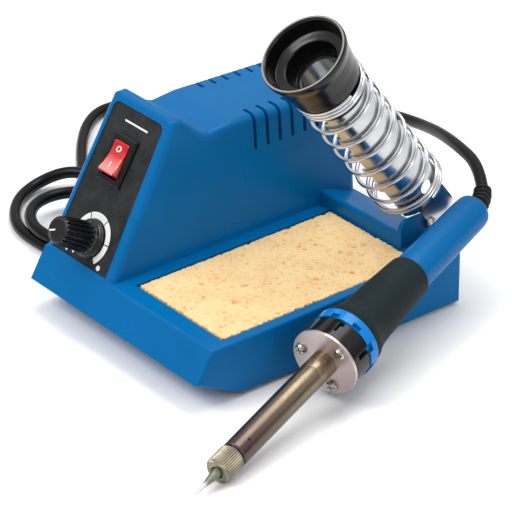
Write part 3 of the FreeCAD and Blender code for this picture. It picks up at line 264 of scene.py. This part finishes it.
# Only for the thin ring on the funnel's rim, which is a painted highlight.
RIM_HIGHLIGHT_METAL = finish("painted_rim_highlight", (170, 168, 164), 0.3, (140, 138, 134), metal=1, grain=(900, 0.15),
               rough_span=0.15)
SCREW = finish("plated_screws", (205, 203, 198), 0.2, (170, 168, 162), metal=1, grain=(1200, 0.1))
NUT = finish("nickel_nut", (164, 156, 138), 0.28, (118, 110, 94), metal=1, grain=(1500, 0.2), mottle=120)
BARREL = finish("heat_tinted_barrel", (134, 120, 98), 0.22, (88, 74, 72), metal=1, grain=(700, 0.12),
                rough_span=0.16, attribute="down", mottle=50)
DISC = finish("shield_disc", (208, 194, 192), 0.3, (184, 168, 164), metal=0.85, grain=(900, 0.1),
              mottle=40)
TIP = finish("plated_tip", (206, 208, 206), 0.3, (126, 128, 110), metal=1, grain=(1800, 0.45),
             attribute="down", rough_span=0.2, mottle=200)
BRASS = finish("brass_parts", (190, 160, 90), 0.3, (160, 130, 70), metal=1)
ALUMINIUM = finish("aluminium_parts", (190, 190, 192), 0.35, (165, 165, 168), metal=1, grain=(900, 0.15))
BOARD = finish("green_board", (22, 96, 52), 0.4, (16, 80, 44), grain=(3000, 0.3), mottle=200)
ORANGE = finish("orange_parts", (184, 112, 40), 0.35, (160, 92, 30))
CERAMIC = finish("heater_mica", (206, 196, 176), 0.6, (180, 170, 150))
GLASS = finish("fuse_glass", (205, 215, 215), 0.08, (190, 200, 200), coat=0.6)
# White print on the knob, the rocker and the panel, and also the painted highlight line near the panel's
# top.
WHITE_PRINT_AND_HIGHLIGHT = finish("white_print_and_highlight", (232, 232, 230), 0.5, (218, 218, 216), grain=(2600, 0.2))
# Its orange end comes with the pore attribute: painted shade in the pits and painted light through the
# edges and sides, over a random tone.
SPONGE = finish("cellulose_sponge", (231, 202, 148), 0.9, (206, 124, 26), grain=(2400, 0.7),
                attribute="pore", sheen=0.2)

NODE_FINISH = {
    "case_shell": BLUE, "bottom_cover": MATTE_BLACK, "rubber_feet": RUBBER, "cover_screws": SCREW,
    "control_panel": PANEL, "switch_body": SWITCH_BLACK, "switch_terminals": BRASS,
    "potentiometer": ALUMINIUM, "potentiometer_nut": BRASS, "potentiometer_shaft": ALUMINIUM,
    "circuit_board": BOARD,
    "board_posts": MATTE_BLACK, "film_capacitor": ORANGE, "choke_coil": BRASS, "heat_sink": ALUMINIUM,
    "triac": MATTE_BLACK, "fuse_holder": MATTE_BLACK, "fuse": GLASS, "terminal_block": BOARD,
    "lead_gland": RUBBER, "mains_gland": RUBBER, "holder_strip": STRIP, "holder_screw": SCREW,
    "heating_element": CERAMIC, "heat_shield_disc": DISC, "disc_screws": SCREW, "heat_collar": PHENOLIC,
    "handle_ring": RING_BLUE,
}
for node, material in NODE_FINISH.items():
    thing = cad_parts[node]
    thing.data.materials.clear()
    thing.data.materials.append(material)


# ---------------------------------------------------------------- how a surface is made


def piece(name, points, faces, body, slot, material, stands_for=(), values=None, sharp=40):
    """A named piece from points and faces; doubles are merged and its faces turned outwards."""
    mesh = bpy.data.meshes.new(name)
    mesh.from_pydata(np.asarray(points).reshape(-1, 3).tolist(), [], faces)
    for label, numbers in (values or {}).items():
        layer = mesh.attributes.new(label, "FLOAT", "POINT")
        layer.data.foreach_set("value", np.asarray(numbers, np.float32).ravel())
    work = bmesh.new()
    work.from_mesh(mesh)
    bmesh.ops.remove_doubles(work, verts=work.verts, dist=1e-7)
    bmesh.ops.recalc_face_normals(work, faces=work.faces)
    work.to_mesh(mesh)
    work.free()
    mesh.polygons.foreach_set("use_smooth", np.ones(len(mesh.polygons), bool))
    mesh.set_sharp_from_angle(angle=math.radians(sharp))
    mesh.materials.append(material)
    thing = bpy.data.objects.new(name, mesh)
    bpy.context.scene.collection.objects.link(thing)
    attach(thing, body)
    if stands_for:
        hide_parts(*stands_for)
    return thing


def grid_faces(rows, columns, wrap_rows=False, wrap_columns=True):
    """Four-cornered faces over a grid of points, as an array of indices."""
    i = np.arange(rows if wrap_rows else rows - 1)[:, None]
    j = np.arange(columns if wrap_columns else columns - 1)[None, :]
    near, far = i * columns, ((i + 1) % rows) * columns
    right = (j + 1) % columns
    corners = [near + j, near + right, far + right, far + j]
    return np.stack(np.broadcast_arrays(*corners), -1).reshape(-1, 4).tolist()


def softened(corners, reach, steps=4):
    """An open profile with each inner corner replaced by a short curve.

    The curve is the quadratic one from a point before the corner to a point after it, each no
    further away than reach or 0.45 of its side.
    """
    corners = np.asarray(corners, float)
    reach = np.broadcast_to(reach, len(corners))
    out = [corners[:1]]
    for i in range(1, len(corners) - 1):
        back, on = corners[i - 1] - corners[i], corners[i + 1] - corners[i]
        back_long, on_long = np.linalg.norm(back), np.linalg.norm(on)
        start = corners[i] + back / back_long * min(reach[i], 0.45 * back_long)
        end = corners[i] + on / on_long * min(reach[i], 0.45 * on_long)
        t = np.linspace(0, 1, steps + 1)[:, None]
        out.append((1 - t) ** 2 * start + 2 * t * (1 - t) * corners[i] + t**2 * end)
    out.append(corners[-1:])
    return np.concatenate(out)


def divided(profile, longest):
    """The profile with points added so that no side is longer than this."""
    out = [profile[:1]]
    for a, b in zip(profile, profile[1:]):
        count = max(1, math.ceil(np.linalg.norm(b - a) / longest))
        out.append(a + (b - a) * np.linspace(0, 1, count + 1)[1:, None])
    return np.concatenate(out)


def turned(name, place, profile, body, slot, material, around=96, ripple=None, closed=False, **more):
    """A surface of revolution: radius and height along the profile, angle round the place's z.

    ripple(angle, radius, height) gives what is added to the radius, as whole arrays.
    """
    profile = np.asarray(profile, float)
    radius, height = profile[:, :1], profile[:, 1:]
    angle = np.linspace(0, 2 * math.pi, around, endpoint=False)[None, :]
    r = radius + (ripple(angle, radius, height) if ripple else 0 * angle)
    grid = np.stack([r * np.cos(angle), r * np.sin(angle), height + 0 * angle], -1)
    if more.get("values"):
        more["values"] = {k: np.broadcast_to(f(height), r.shape) for k, f in more["values"].items()}
    faces = grid_faces(len(profile), around, wrap_rows=closed)
    return piece(name, place.at(grid), faces, body, slot, material, **more)


def swept(name, path, radius, body, slot, material, around=16, **more):
    """A tube: circles of a radius for each path point, on normals carried along with least twist."""
    path = np.asarray(path, float)
    along = np.gradient(path, axis=0)
    along /= np.linalg.norm(along, axis=1)[:, None]
    side = np.zeros_like(path)
    side[0] = unit(np.cross(along[0], [0.3, 0.2, 0.9]))
    for i in range(1, len(path)):
        side[i] = unit(side[i - 1] - along[i] * (side[i - 1] @ along[i]))
    up = np.cross(along, side)
    angle = np.linspace(0, 2 * math.pi, around, endpoint=False)[None, :, None]
    ring = side[:, None] * np.cos(angle) + up[:, None] * np.sin(angle)
    grid = path[:, None] + ring * np.broadcast_to(radius, len(path))[:, None, None]
    faces = grid_faces(len(path), around)
    last = (len(path) - 1) * around
    faces += [list(range(around)), list(range(last, last + around))]
    return piece(name, grid, faces, body, slot, material, **more)


def slab(name, place, outline, low, high, body, slot, material, **more):
    """A flat piece: an outline in the place's x and y, from one height to another."""
    outline = np.asarray(outline, float)
    count = len(outline)
    layers = [np.column_stack([outline, np.full(count, z)]) for z in (low, high)]
    faces = grid_faces(2, count) + [list(range(count)), list(range(count, 2 * count))]
    return piece(name, place.at(np.stack(layers)), faces, body, slot, material, **more)


def band(name, place, inner, outer, low, high, body, slot, material, **more):
    """A closed flat ring between two outlines that have the same number of points."""
    rows = []
    for outline, z in ((outer, low), (outer, high), (inner, high), (inner, low)):
        rows.append(np.column_stack([outline, np.full(len(outline), z)]))
    faces = grid_faces(4, len(outer), wrap_rows=True)
    return piece(name, place.at(np.stack(rows)), faces, body, slot, material, **more)


def round_box(wide, long, corner):
    """The outline of a rectangle with round corners."""
    t = np.linspace(0, math.pi / 2, 8)
    parts = []
    for i, (sx, sy) in enumerate(((1, 1), (-1, 1), (-1, -1), (1, -1))):
        middle = np.array([sx * (wide / 2 - corner), sy * (long / 2 - corner)])
        a = t + i * math.pi / 2
        parts.append(middle + corner * np.column_stack([np.cos(a), np.sin(a)]))
    return np.concatenate(parts)


def circle(radius):
    """The outline of a circle."""
    a = np.linspace(0, 2 * math.pi, 40, endpoint=False)
    return np.column_stack([np.cos(a), np.sin(a)]) * radius


# ---------------------------------------------------------------- camera, floor and light

CAMERA_AT = lay((999.5, -667.9, 689.4))
LOOK_AT = lay((77.4, 65.95, 35))
ROLL = math.radians(-0.39)

camera_data = bpy.data.cameras.new("camera")
camera_data.sensor_width = 36
camera_data.lens = 218.3
camera_data.clip_end = 20
camera = bpy.data.objects.new("camera", camera_data)
bpy.context.scene.collection.objects.link(camera)
look = Vector(LOOK_AT - CAMERA_AT).to_track_quat("-Z", "Y").to_matrix() @ Matrix.Rotation(ROLL, 3, "Z")
camera.matrix_world = Matrix.Translation(CAMERA_AT) @ look.to_4x4()
bpy.context.scene.camera = camera

floor_mesh = bpy.data.meshes.new("floor")
floor_mesh.from_pydata([(-6, -6, 0), (6, -6, 0), (6, 6, 0), (-6, 6, 0)], [], [(0, 1, 2, 3)])
floor = bpy.data.objects.new("floor", floor_mesh)
bpy.context.scene.collection.objects.link(floor)
floor_mesh.materials.append(finish("pale_floor", (244, 244, 244), 0.8, (240, 240, 240), grain=(300, 0.0)))

world = bpy.data.worlds.new("studio")
bpy.context.scene.world = world
world.use_nodes = True
# White from every side, weaker low down than overhead.
sky_nodes, sky_links = world.node_tree.nodes, world.node_tree.links
sky_nodes["Background"].inputs["Color"].default_value = (1, 1, 1, 1)
sky_way = sky_nodes.new("ShaderNodeTexCoord")
sky_split = sky_nodes.new("ShaderNodeSeparateXYZ")
sky_span = sky_nodes.new("ShaderNodeMapRange")
sky_span.inputs["From Min"].default_value = 0.05
sky_span.inputs["From Max"].default_value = 0.6
sky_span.inputs["To Min"].default_value = 0.22
sky_span.inputs["To Max"].default_value = 0.95
sky_links.new(sky_way.outputs["Generated"], sky_split.inputs["Vector"])
sky_links.new(sky_split.outputs["Z"], sky_span.inputs["Value"])
sky_links.new(sky_span.outputs["Result"], sky_nodes["Background"].inputs["Strength"])
bpy.context.scene.view_settings.view_transform = "Standard"


def softbox(name, at, towards, size, power):
    """A rectangular light that faces a point; places and sizes are in metres, power in watts."""
    light = bpy.data.lights.new(name, "AREA")
    light.shape = "RECTANGLE"
    light.size, light.size_y = size
    light.energy = power
    thing = bpy.data.objects.new(name, light)
    bpy.context.scene.collection.objects.link(thing)
    aim = Vector(np.array(towards) - np.array(at)).to_track_quat("-Z", "Y").to_matrix()
    thing.matrix_world = Matrix.Translation(Vector(at)) @ aim.to_4x4()


softbox("key_light", (-0.5, -1.3, 1.7), (0, 0, 0.05), (1.0, 0.8), 22)
softbox("side_light", (1.7, 0.1, 0.9), (0, 0, 0.05), (0.6, 1.0), 6.5)
softbox("top_light", (-0.1, 0.5, 1.7), (0, 0, 0.05), (1.2, 0.7), 13)


# ---------------------------------------------------------------- the lead

# The lead's control points, from the strain relief's far end to the middle of its gland.
LEAD_ROUTE = [
    (108.01, 170.30, 45.43), (96.47, 178.80, 49.85),
    (71, 188, 47.5), (48, 198, 41.5), (25, 207, 34), (0, 211, 28), (-26, 205, 24), (-52, 194, 19),
    (-77, 180, 12), (-100, 168, 5.5), (-118, 161, 2.9), (-131, 151, 2.9), (-134, 136, 2.9),
    (-126, 122, 2.9), (-113, 109.5, 2.9), (-98, 98, 2.9), (-82, 87.5, 2.9), (-62, 79, 2.9),
    (-42, 76, 2.9), (-25, 71, 2.9), (-13, 60, 2.9), (-12, 45, 2.9), (-22, 34.5, 2.9), (-40, 32.5, 2.9),
    (-58, 33, 2.9), (-73, 41, 2.9), (-84, 52.5, 3), (-87.5, 66, 4.6), (-81.5, 77.5, 8.9),
    (-70, 84.5, 9.4), (-56.5, 87.5, 8), (-43, 86.5, 5.2), (-30, 80.5, 7), (-17.5, 69, 9),
    (-12, 54, 8.9), (-18, 40, 8.9), (-35, 32, 8.9),
    (-52, 35, 8.9), (-64, 46, 8.9), (-66, 60, 8.9), (-58, 72, 9.6), (-50, 83, 12.6), (-45, 93, 12.2),
    (-40, 109, 6.5), (-37, 128, 3.2), (-36, 149, 2.9), (-33, 171, 3.6), (-20, 187, 7), (0, 187, 13.5),
    (12, 167.8, 19), (12, 146.8, 19),
]
LEAD_DIAMETER = 0.0056


def route_line(points, name):
    """The smooth line of a NURBS spline with these control points, read as an array of points."""
    curve = bpy.data.curves.new(name, "CURVE")
    curve.dimensions = "3D"
    spline = curve.splines.new("NURBS")
    spline.points.add(len(points) - 1)
    for control, place in zip(spline.points, lay(points)):
        control.co = (*place, 1)
    spline.order_u = 3
    spline.use_endpoint_u = True
    spline.resolution_u = 14
    thing = bpy.data.objects.new(name, curve)
    bpy.context.scene.collection.objects.link(thing)
    mesh = bpy.data.meshes.new_from_object(thing)
    line = np.array([v.co for v in mesh.vertices])
    bpy.data.objects.remove(thing)
    bpy.data.curves.remove(curve)
    bpy.data.meshes.remove(mesh)
    return line


def make_lead():
    """A tube along the route's spline; it is not attached to the iron."""
    line = route_line(LEAD_ROUTE, "lead_route")
    lead = swept("lead", line, LEAD_DIAMETER / 2, "station", "lead_black", LEAD, stands_for=["iron_lead"])
    lead.parent = None
    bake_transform(lead)


make_lead()


def make_strain_relief():
    """A ribbed sleeve that bends from the handle towards the lead.

    Its path is an arc from the handle's end; the radius falls along it and rises in five ribs.
    """
    start = IRON_TIP + IRON_AXIS * IRON_LONG
    end_way = unit([-0.769619, 0.566552, 0.294457])
    side = unit(end_way - IRON_AXIS * (end_way @ IRON_AXIS))
    turn = math.acos(float(end_way @ IRON_AXIS))
    t = np.linspace(0, 1, 90)
    arc = start + 20 * (np.sin(t * turn)[:, None] * IRON_AXIS + (1 - np.cos(t * turn))[:, None] * side)
    ribs = np.clip(np.sin(t * 5 * 2 * math.pi - 1.2) * 2.2, -1, 1)
    radius = (4.35 - 0.75 * t + 0.42 * ribs) * MM
    stem = start - IRON_AXIS * np.linspace(4, 0.4, 4)[:, None]
    path = lay(np.concatenate([stem, arc]))
    radius = np.concatenate([np.full(4, 3.6 * MM), radius])
    swept("strain_relief_sleeve", path, radius, "iron", "rubber_black", RUBBER, around=32,
          stands_for=["strain_relief"], sharp=50)


make_strain_relief()


# ---------------------------------------------------------------- the sponge


def make_sponge():
    """A block of cellulose: a top that is a height over x and y, torn sides and a flat bottom.

    The height is the block's top less many round pits of different sizes; a pit's depth falls from
    its middle as one minus the squared distance, and the deeper the point, the more orange it is:
    that orange is painted shade in the pits. The orange near the edges and on the sides is painted
    light shining through the sponge.
    """
    chance = np.random.default_rng(7)
    low, high = (np.array(c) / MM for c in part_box("cleaning_sponge"))
    wide, long, top = high[0] - low[0], high[1] - low[1], high[2]
    x = np.linspace(0, wide, 202)
    y = np.linspace(0, long, 364)
    gx, gy = np.meshgrid(x, y, indexing="ij")
    pit = np.zeros_like(gx)
    tint = np.zeros_like(gx)
    step = x[1] - x[0]
    pit_kinds = ((0.3, 0.65, 2600), (0.6, 1.1, 330), (1.1, 1.9, 36))
    sizes = np.concatenate([chance.uniform(*kind) for kind in pit_kinds])
    for size in sizes:
        cx, cy = chance.uniform(0, wide), chance.uniform(0, long)
        squash, turn = chance.uniform(0.55, 1), chance.uniform(0, math.pi)
        i0, i1 = (max(0, int((cx + s * size) / step) + (s > 0)) for s in (-1, 1))
        j0, j1 = (max(0, int((cy + s * size) / step) + (s > 0)) for s in (-1, 1))
        window = (slice(i0, i1 + 1), slice(j0, j1 + 1))
        dx, dy = gx[window] - cx, gy[window] - cy
        a = dx * math.cos(turn) + dy * math.sin(turn)
        b = (dy * math.cos(turn) - dx * math.sin(turn)) / squash
        near = np.clip(1 - (a**2 + b**2) / size**2, 0, 1)
        depth = min(1.3, 0.55 * size + 0.12) * chance.uniform(0.5, 1)
        pit[window] = np.maximum(pit[window], near * depth)
        # Painted shade: the pit is more orange towards its deep middle.
        pit_shade = np.sqrt(near) * chance.uniform(0.1, 0.85) * min(1, 0.35 + size / 2)
        tint[window] = np.maximum(tint[window], pit_shade)
    swell = 0.22 * np.sin(gx / 9.1 + 1.3) * np.sin(gy / 12.7) + 0.12 * np.sin(gx / 3.3 + gy / 4.9)
    fuzz = chance.normal(0, 0.09, gx.shape)
    edge = np.minimum(np.minimum(gx, wide - gx), np.minimum(gy, long - gy))
    rounding = 0.5 * np.clip(1 - edge / 0.9, 0, 1) ** 2
    gz = top - 0.25 + swell * np.clip(edge / 5, 0, 1) - pit + fuzz - rounding
    torn_x = np.convolve(chance.uniform(-0.4, 2.6, len(y)), [0.3, 0.4, 0.3], "same")[None, :]
    torn_y = np.convolve(chance.uniform(-0.4, 2.6, len(x)), [0.3, 0.4, 0.3], "same")[:, None]
    beside_x = np.minimum(gx, wide - gx) < np.minimum(gy, long - gy)
    pull = np.clip(1 - edge / 1.2, 0, 1) * np.clip(np.where(beside_x, torn_x, torn_y), 0, 2) * 0.6
    px = low[0] + gx + np.where(gx < wide / 2, pull, -pull) * (np.minimum(gx, wide - gx) < 1.2)
    py = low[1] + gy + np.where(gy < long / 2, pull * 0.6, -pull) * (np.minimum(gy, long - gy) < 1.2)
    # Painted light: within 0.7 mm of the edges the top turns more orange at random, as light shines
    # through the thin edge.
    orange_edge_light = np.clip(1 - edge / 0.7, 0, 1) * chance.uniform(0, 0.7, gx.shape)
    tint = tint + chance.normal(0.04, 0.09, gx.shape) + 0.08 * np.sin(gx / 4.1 + 3 * np.sin(gy / 7.3))
    tint = np.clip(np.maximum(tint, orange_edge_light), 0, 1)
    points = np.stack([px, py, gz], -1).reshape(-1, 3)
    index = np.arange(gx.size).reshape(gx.shape)
    rim = np.concatenate([index[:-1, 0], index[-1, :-1], index[:0:-1, -1], index[0, :0:-1]])
    faces = grid_faces(*gx.shape, wrap_columns=False)
    count = len(rim)
    rings, ring_tint, before = [], [], rim
    for level in np.linspace(0.12, 1, 8):
        ring = points[rim].copy()
        ring[:, 2] = ring[:, 2] + (low[2] - ring[:, 2]) * level
        wobble = chance.normal(0, 0.1, (count, 2)) * (level < 1)
        ring[:, :2] += wobble
        start = gx.size + len(rings) * count
        this = np.arange(start, start + count)
        faces += np.column_stack([before, np.roll(before, -1), np.roll(this, -1), this]).tolist()
        rings.append(ring)
        # The sides are more orange than the top: painted light shining through the sponge.
        ring_tint.append(np.clip(0.3 + chance.normal(0, 0.15, count), 0, 1))
        before = this
    faces.append(before.tolist())
    points = np.concatenate([points] + rings) * MM
    values = {"pore": np.concatenate([tint.ravel()] + ring_tint)}
    sponge = piece("sponge", points, faces, "sponge", "sponge_cellulose", SPONGE,
                   stands_for=["cleaning_sponge"], values=values, sharp=180)


make_sponge()


# ---------------------------------------------------------------- the controls


def make_knob():
    """Turned, with rounded ribs that fade out at the skirt and near the face."""
    rib_count = 18
    at = FRONT.moved((*KNOB_CENTRE, PANEL_FACE))
    profile = softened([
        (3.1, 4), (6.5, 4), (6.5, 0.8), (8.8, 0.8), (8.8, 1.7), (8.45, 1.8), (8.4, 2.5), (7.8, 2.7),
        (7.7, 3.5), (7.2, 4.4), (6.35, 19.4), (5.8, 20.4), (5.1, 20.5), (4.8, 20.1), (0, 20.1),
    ], 0.22)

    def ribs(angle, radius, height):
        wave = np.clip(np.cos(rib_count * angle) * 1.8 + 0.2, -1, 1)
        full = np.clip((height - 3.6) / 1.0, 0, 1) * np.clip((19.9 - height) / 0.6, 0, 1)
        return (wave * 0.55 - 0.5) * full * (radius > 5.5)

    turned("knob_cap", at, divided(profile, 1.2), "knob", "matte_black", MATTE_BLACK, around=252,
           ripple=ribs, stands_for=["control_knob"], sharp=60)
    pointing = math.radians(205)
    way = np.array([math.cos(pointing), math.sin(pointing)])
    across = np.array([-way[1], way[0]])
    near, far, half = 1.6, 5.3, 0.35
    line = [way * near - across * half, way * far - across * half,
            way * far + across * half, way * near + across * half]
    slab("knob_pointer", at, line, 20.05, 20.45, "knob", "matte_black", WHITE_PRINT_AND_HIGHLIGHT)


def make_rocker():
    """The rocker's side view is carried across its width, and each face dips in its middle."""
    pivot = FRONT.moved((*ROCKER_CENTRE, PANEL_FACE + 0.2))
    tilt = math.radians(-12)
    y_axis = np.array([0, math.cos(tilt), math.sin(tilt)]) @ pivot.axes
    z_axis = np.array([0, -math.sin(tilt), math.cos(tilt)]) @ pivot.axes
    at = Place(pivot.origin, pivot.axes[0], y_axis, z_axis)
    side = softened([
        (0, -4.1), (7.6, -1.2), (7.7, 3.9), (4, 2.9), (0, 2.75), (-4, 2.9), (-7.7, 3.9), (-7.6, -1.2),
        (0, -4.1),
    ], 0.8, 5)
    side = divided(side, 0.7)[:-1]
    half = 4.85
    across = np.array([
        -half, -half, -half + 0.15, -half + 0.5, -2, 0, 2, half - 0.5, half - 0.15, half, half,
    ])
    inward = np.array([0.55, 0.5, 0.16, 0, 0, 0, 0, 0, 0.16, 0.5, 0.55])
    middle = side.mean(0)
    to_middle = middle - side
    to_middle /= np.linalg.norm(to_middle, axis=1)[:, None]
    yz = side[None] + inward[:, None, None] * to_middle[None]
    grid = np.concatenate([np.broadcast_to(across[:, None, None], yz.shape[:2] + (1,)), yz], -1)
    faces = grid_faces(len(across), len(side))
    last = (len(across) - 1) * len(side)
    faces += [list(range(len(side))), list(range(last, last + len(side)))]
    # down is 0 on the lower part of the top face, where the painted glow of light goes, rising to 1
    # further up, and 1 on the end and the sides.
    down = np.clip((grid[..., 1] + 5.2) / 6.5, 0, 1) + (grid[..., 1] < -7.1) + (grid[..., 2] < 2)
    down = np.clip(down, 0, 1)
    piece("rocker_cap", at.at(grid), faces, "rocker", "red_rocker", RED, stands_for=["switch_rocker"],
          values={"down": down}, sharp=50)
    ring_at = at.moved((0, 4.2, 0))
    band("rocker_off_mark", ring_at, circle(1.0), circle(1.45), 2.95, 3.4, "rocker", "red_rocker", WHITE_PRINT_AND_HIGHLIGHT)
    bar_at = at.moved((0, -3.4, 0))
    slab("rocker_on_mark", bar_at, round_box(0.5, 2.8, 0.1), 2.9, 3.3, "rocker", "red_rocker", WHITE_PRINT_AND_HIGHLIGHT)


def dial_segment(start, end, inner, outer):
    """The outline of a piece of flat ring, from one angle in degrees to another."""
    a = np.radians(np.linspace(start, end, 24))
    ring = np.column_stack([np.cos(a), np.sin(a)])
    return np.concatenate([ring * outer, ring[::-1] * inner])


def make_panel_print():
    """A dial scale round the knob, a small and a large dot at its two ends, and a white line near the
    panel's top that is a painted highlight along an embossed edge.
    """
    knob = FRONT.moved((*KNOB_CENTRE, PANEL_FACE))
    gaps = [-50, 5, 62, 122, 180, 235]
    for i, (a, b) in enumerate(zip(gaps, gaps[1:])):
        slab(f"dial_arc_{i}", knob, dial_segment(a + 1.4, b - 1.4, 9.1, 12.0), 0.0, 0.05, "station",
             "panel_charcoal", WHITE_PRINT_AND_HIGHLIGHT)
    for name, across, radius in (("dial_low_end", 13.2, 0.6), ("dial_high_end", 36.4, 1.2)):
        at = FRONT.moved((across, DIAL_ENDS_UP, PANEL_FACE))
        slab(name, at, circle(radius), 0.0, 0.06, "station", "panel_charcoal", WHITE_PRINT_AND_HIGHLIGHT)
    # Painted highlight: a white line along the embossed edge near the panel's top.
    bar = FRONT.moved((22.9, 82.6, PANEL_FACE))
    slab("panel_edge_highlight", bar, round_box(16, 0.8, 0.15), 0.0, 0.06, "station", "panel_charcoal", WHITE_PRINT_AND_HIGHLIGHT)


make_knob()
make_rocker()
make_panel_print()


# ---------------------------------------------------------------- the holder


def make_spring():
    """A helix of plated wire: closed turns at both ends and open turns between.

    The angle is turns times a full circle and the height follows the pitch of each stretch.
    """
    closed, opened, close_pitch = 2.25, 6.5, 1.95
    low, high = 3.8, 84.0
    coil_radius, wire_radius = 15.8, 0.9
    turns = np.linspace(0, 2 * closed + opened, 1150)
    height = np.interp(turns, [0, closed, closed + opened, 2 * closed + opened],
                       [low, low + closed * close_pitch, high - closed * close_pitch, high])
    angle = turns * 2 * math.pi
    path = HOLDER.at(np.column_stack([coil_radius * np.cos(angle), coil_radius * np.sin(angle), height]))
    swept("spring_wire", path, wire_radius * MM, "station", "spring_chrome", CHROME, around=14,
          stands_for=["holder_spring"], sharp=60)


def make_funnel():
    """Turned and moulded: a flare, a step for the iron's disc and a lipped bore, with a thin pale ring on
    the rim as a painted highlight.
    """
    profile = softened([
        (10, 76), (14.35, 76), (14.35, 85.2), (16.5, 85.6), (17.2, 92), (18.6, 99.6), (19.9, 103.5),
        (19.95, 105.3), (19.6, 105.95), (18.7, 105.95), (17.9, 105.2), (16.5, 99.0), (12.3, 98.2),
        (11.9, 97.4), (10.8, 90.2), (11.6, 89.6), (11.2, 89.2), (10, 89.2), (10, 76),
    ], 0.4)[:-1]
    turned("funnel_cup", HOLDER, divided(profile, 2.5), "station", "black_plastic", PHENOLIC, around=128,
           closed=True, stands_for=["holder_funnel"], sharp=50)
    # A thin pale metal ring on the top of the rim: a painted highlight along the lip.
    edge = [(18.75, 105.9), (19.55, 105.9), (19.55, 106.0), (18.75, 106.0), (18.75, 105.9)]
    turned("funnel_rim_highlight", HOLDER, softened(edge, 0.05)[:-1], "station", "black_plastic", RIM_HIGHLIGHT_METAL,
           around=128, closed=True)
    sleeve = np.array([(9.4, 62), (9.95, 62), (9.95, 88.6), (9.4, 88.6), (9.4, 62)])
    turned("funnel_liner", HOLDER, divided(sleeve, 4)[:-1], "station", "steel", STRIP,
           around=96, closed=True)


def make_strip_hems():
    """Small folded tabs along the strip's left edge: each is a short bent plate."""
    edge = math.radians(-62)
    radius, half_thick = 13.9, 0.35
    for i, height in enumerate((20, 32, 44, 56, 68)):
        t = np.linspace(edge - 0.16, edge, 6)
        outer = np.column_stack([np.cos(t) * (radius + half_thick), np.sin(t) * (radius + half_thick)])
        inner = np.column_stack([np.cos(t) * (radius - half_thick), np.sin(t) * (radius - half_thick)])
        slab(f"strip_hem_{i}", HOLDER, np.concatenate([outer, inner[::-1]]), height, height + 6,
             "station", "steel", STRIP)


make_spring()
make_funnel()
make_strip_hems()


# ---------------------------------------------------------------- the iron


def fade(start, end):
    """A function of height that runs from 0 at the start to 1 at the end."""
    return lambda height: np.clip((height - start) / (end - start), 0, 1)


def make_iron():
    """Pieces turned about the iron's axis, with heights from the point, and one black disc that is painted
    shade in the barrel's vent hole.

    The disc lies on the barrel's side that faces the camera.
    """
    tip = softened(
        [(0, 0), (0.45, 0.1), (1.0, 6.2), (2.35, 14.6), (2.75, 15.6), (2.75, 30), (0, 30)],
        [0, 0.3, 3, 2, 0.3, 0, 0],
    )
    turned("iron_tip_bit", IRON, divided(tip, 1.0), "iron", "tip_metal", TIP, around=64,
           stands_for=["iron_tip"], values={"down": fade(5.6, 7.4)})

    def knurl(angle, radius, height):
        ridges = np.abs(np.sin(18 * angle))
        rows = (height > 14.7) & (height < 25.1) & (radius > 5.15)
        return rows * (0.42 * ridges - 0.36)

    nut = softened([
        (2.9, 14.6), (4.7, 14.5), (5.9, 15.9), (6.0, 16.2), (6.0, 24.6), (6.05, 25.0), (5.7, 25.6),
        (5.1, 25.6), (5.1, 18.6), (2.9, 18.6), (2.9, 14.6),
    ], 0.25)[:-1]
    turned("tip_nut_knurled", IRON, divided(nut, 0.7), "iron", "steel", NUT, around=252, ripple=knurl,
           closed=True, stands_for=["tip_nut"], sharp=70)
    barrel = softened([
        (4.35, 19.7), (4.95, 19.7), (4.95, 26.4), (5.55, 26.45), (5.6, 26.9), (5.85, 27.1), (5.88, 28.2),
        (5.88, 81.6), (5.7, 81.7), (5.7, 82.3), (5.92, 82.4), (5.92, 100), (5.1, 100), (5.1, 27.8),
        (4.35, 27.8), (4.35, 19.7),
    ], 0.15)[:-1]
    turned("barrel_tube", IRON, divided(barrel, 6), "iron", "barrel_steel", BARREL, around=96, closed=True,
           stands_for=["barrel"], values={"down": lambda h: np.clip(1 - (h - 26) / 60, 0, 1)})
    out = CAMERA_AT / MM + LAYOUT_ORIGIN - IRON_TIP
    out = unit(out - IRON_AXIS * (out @ IRON_AXIS))
    hole_at = Place(IRON_TIP + IRON_AXIS * 33.5 + out * 5.72, IRON_AXIS, np.cross(out, IRON_AXIS), out)
    # A flat black disc on the barrel: painted shade where the vent hole is.
    slab("barrel_vent_shade", hole_at, circle(0.75), 0, 0.2, "iron", "black_plastic", MATTE_BLACK)
    low = SHIELD_AT + DISC_THICK + STACK_GAP + COLLAR_LONG + STACK_GAP + RING_LONG + STACK_GAP
    grip = softened([
        (8.75, low), (14.2, low), (14.95, low + 0.9), (14.9, low + 3.4), (13.7, low + 6.2),
        (12.7, low + 9.5), (12.1, low + 14), (11.2, low + 30), (10.1, 156.4), (9.7, 157.6), (9.0, 158),
        (8.75, 158), (8.75, low),
    ], [0, 0.5, 0.8, 2, 2, 3, 4, 6, 1.5, 0.6, 0.2, 0, 0])[:-1]
    turned("grip_sleeve", IRON, divided(grip, 2), "iron", "rubber_black", GRIP, around=96, closed=True,
           stands_for=["rubber_grip"], sharp=50)
    handle = softened([
        (6.8, 110), (8.65, 110), (8.65, 158.1), (8.98, 158.15), (8.4, 207), (7.9, 209.4), (6.7, 210.6),
        (5.4, IRON_LONG), (3.65, IRON_LONG), (3.65, 208.5), (6.8, 208.5), (6.8, 110),
    ], [0, 0, 0, 0.2, 2.5, 1.5, 0.8, 0.5, 0.3, 0, 0, 0])[:-1]
    turned("handle_shell", IRON, divided(handle, 3), "iron", "blue_plastic", BLUE, around=96, closed=True,
           stands_for=["handle"], sharp=50)


make_iron()
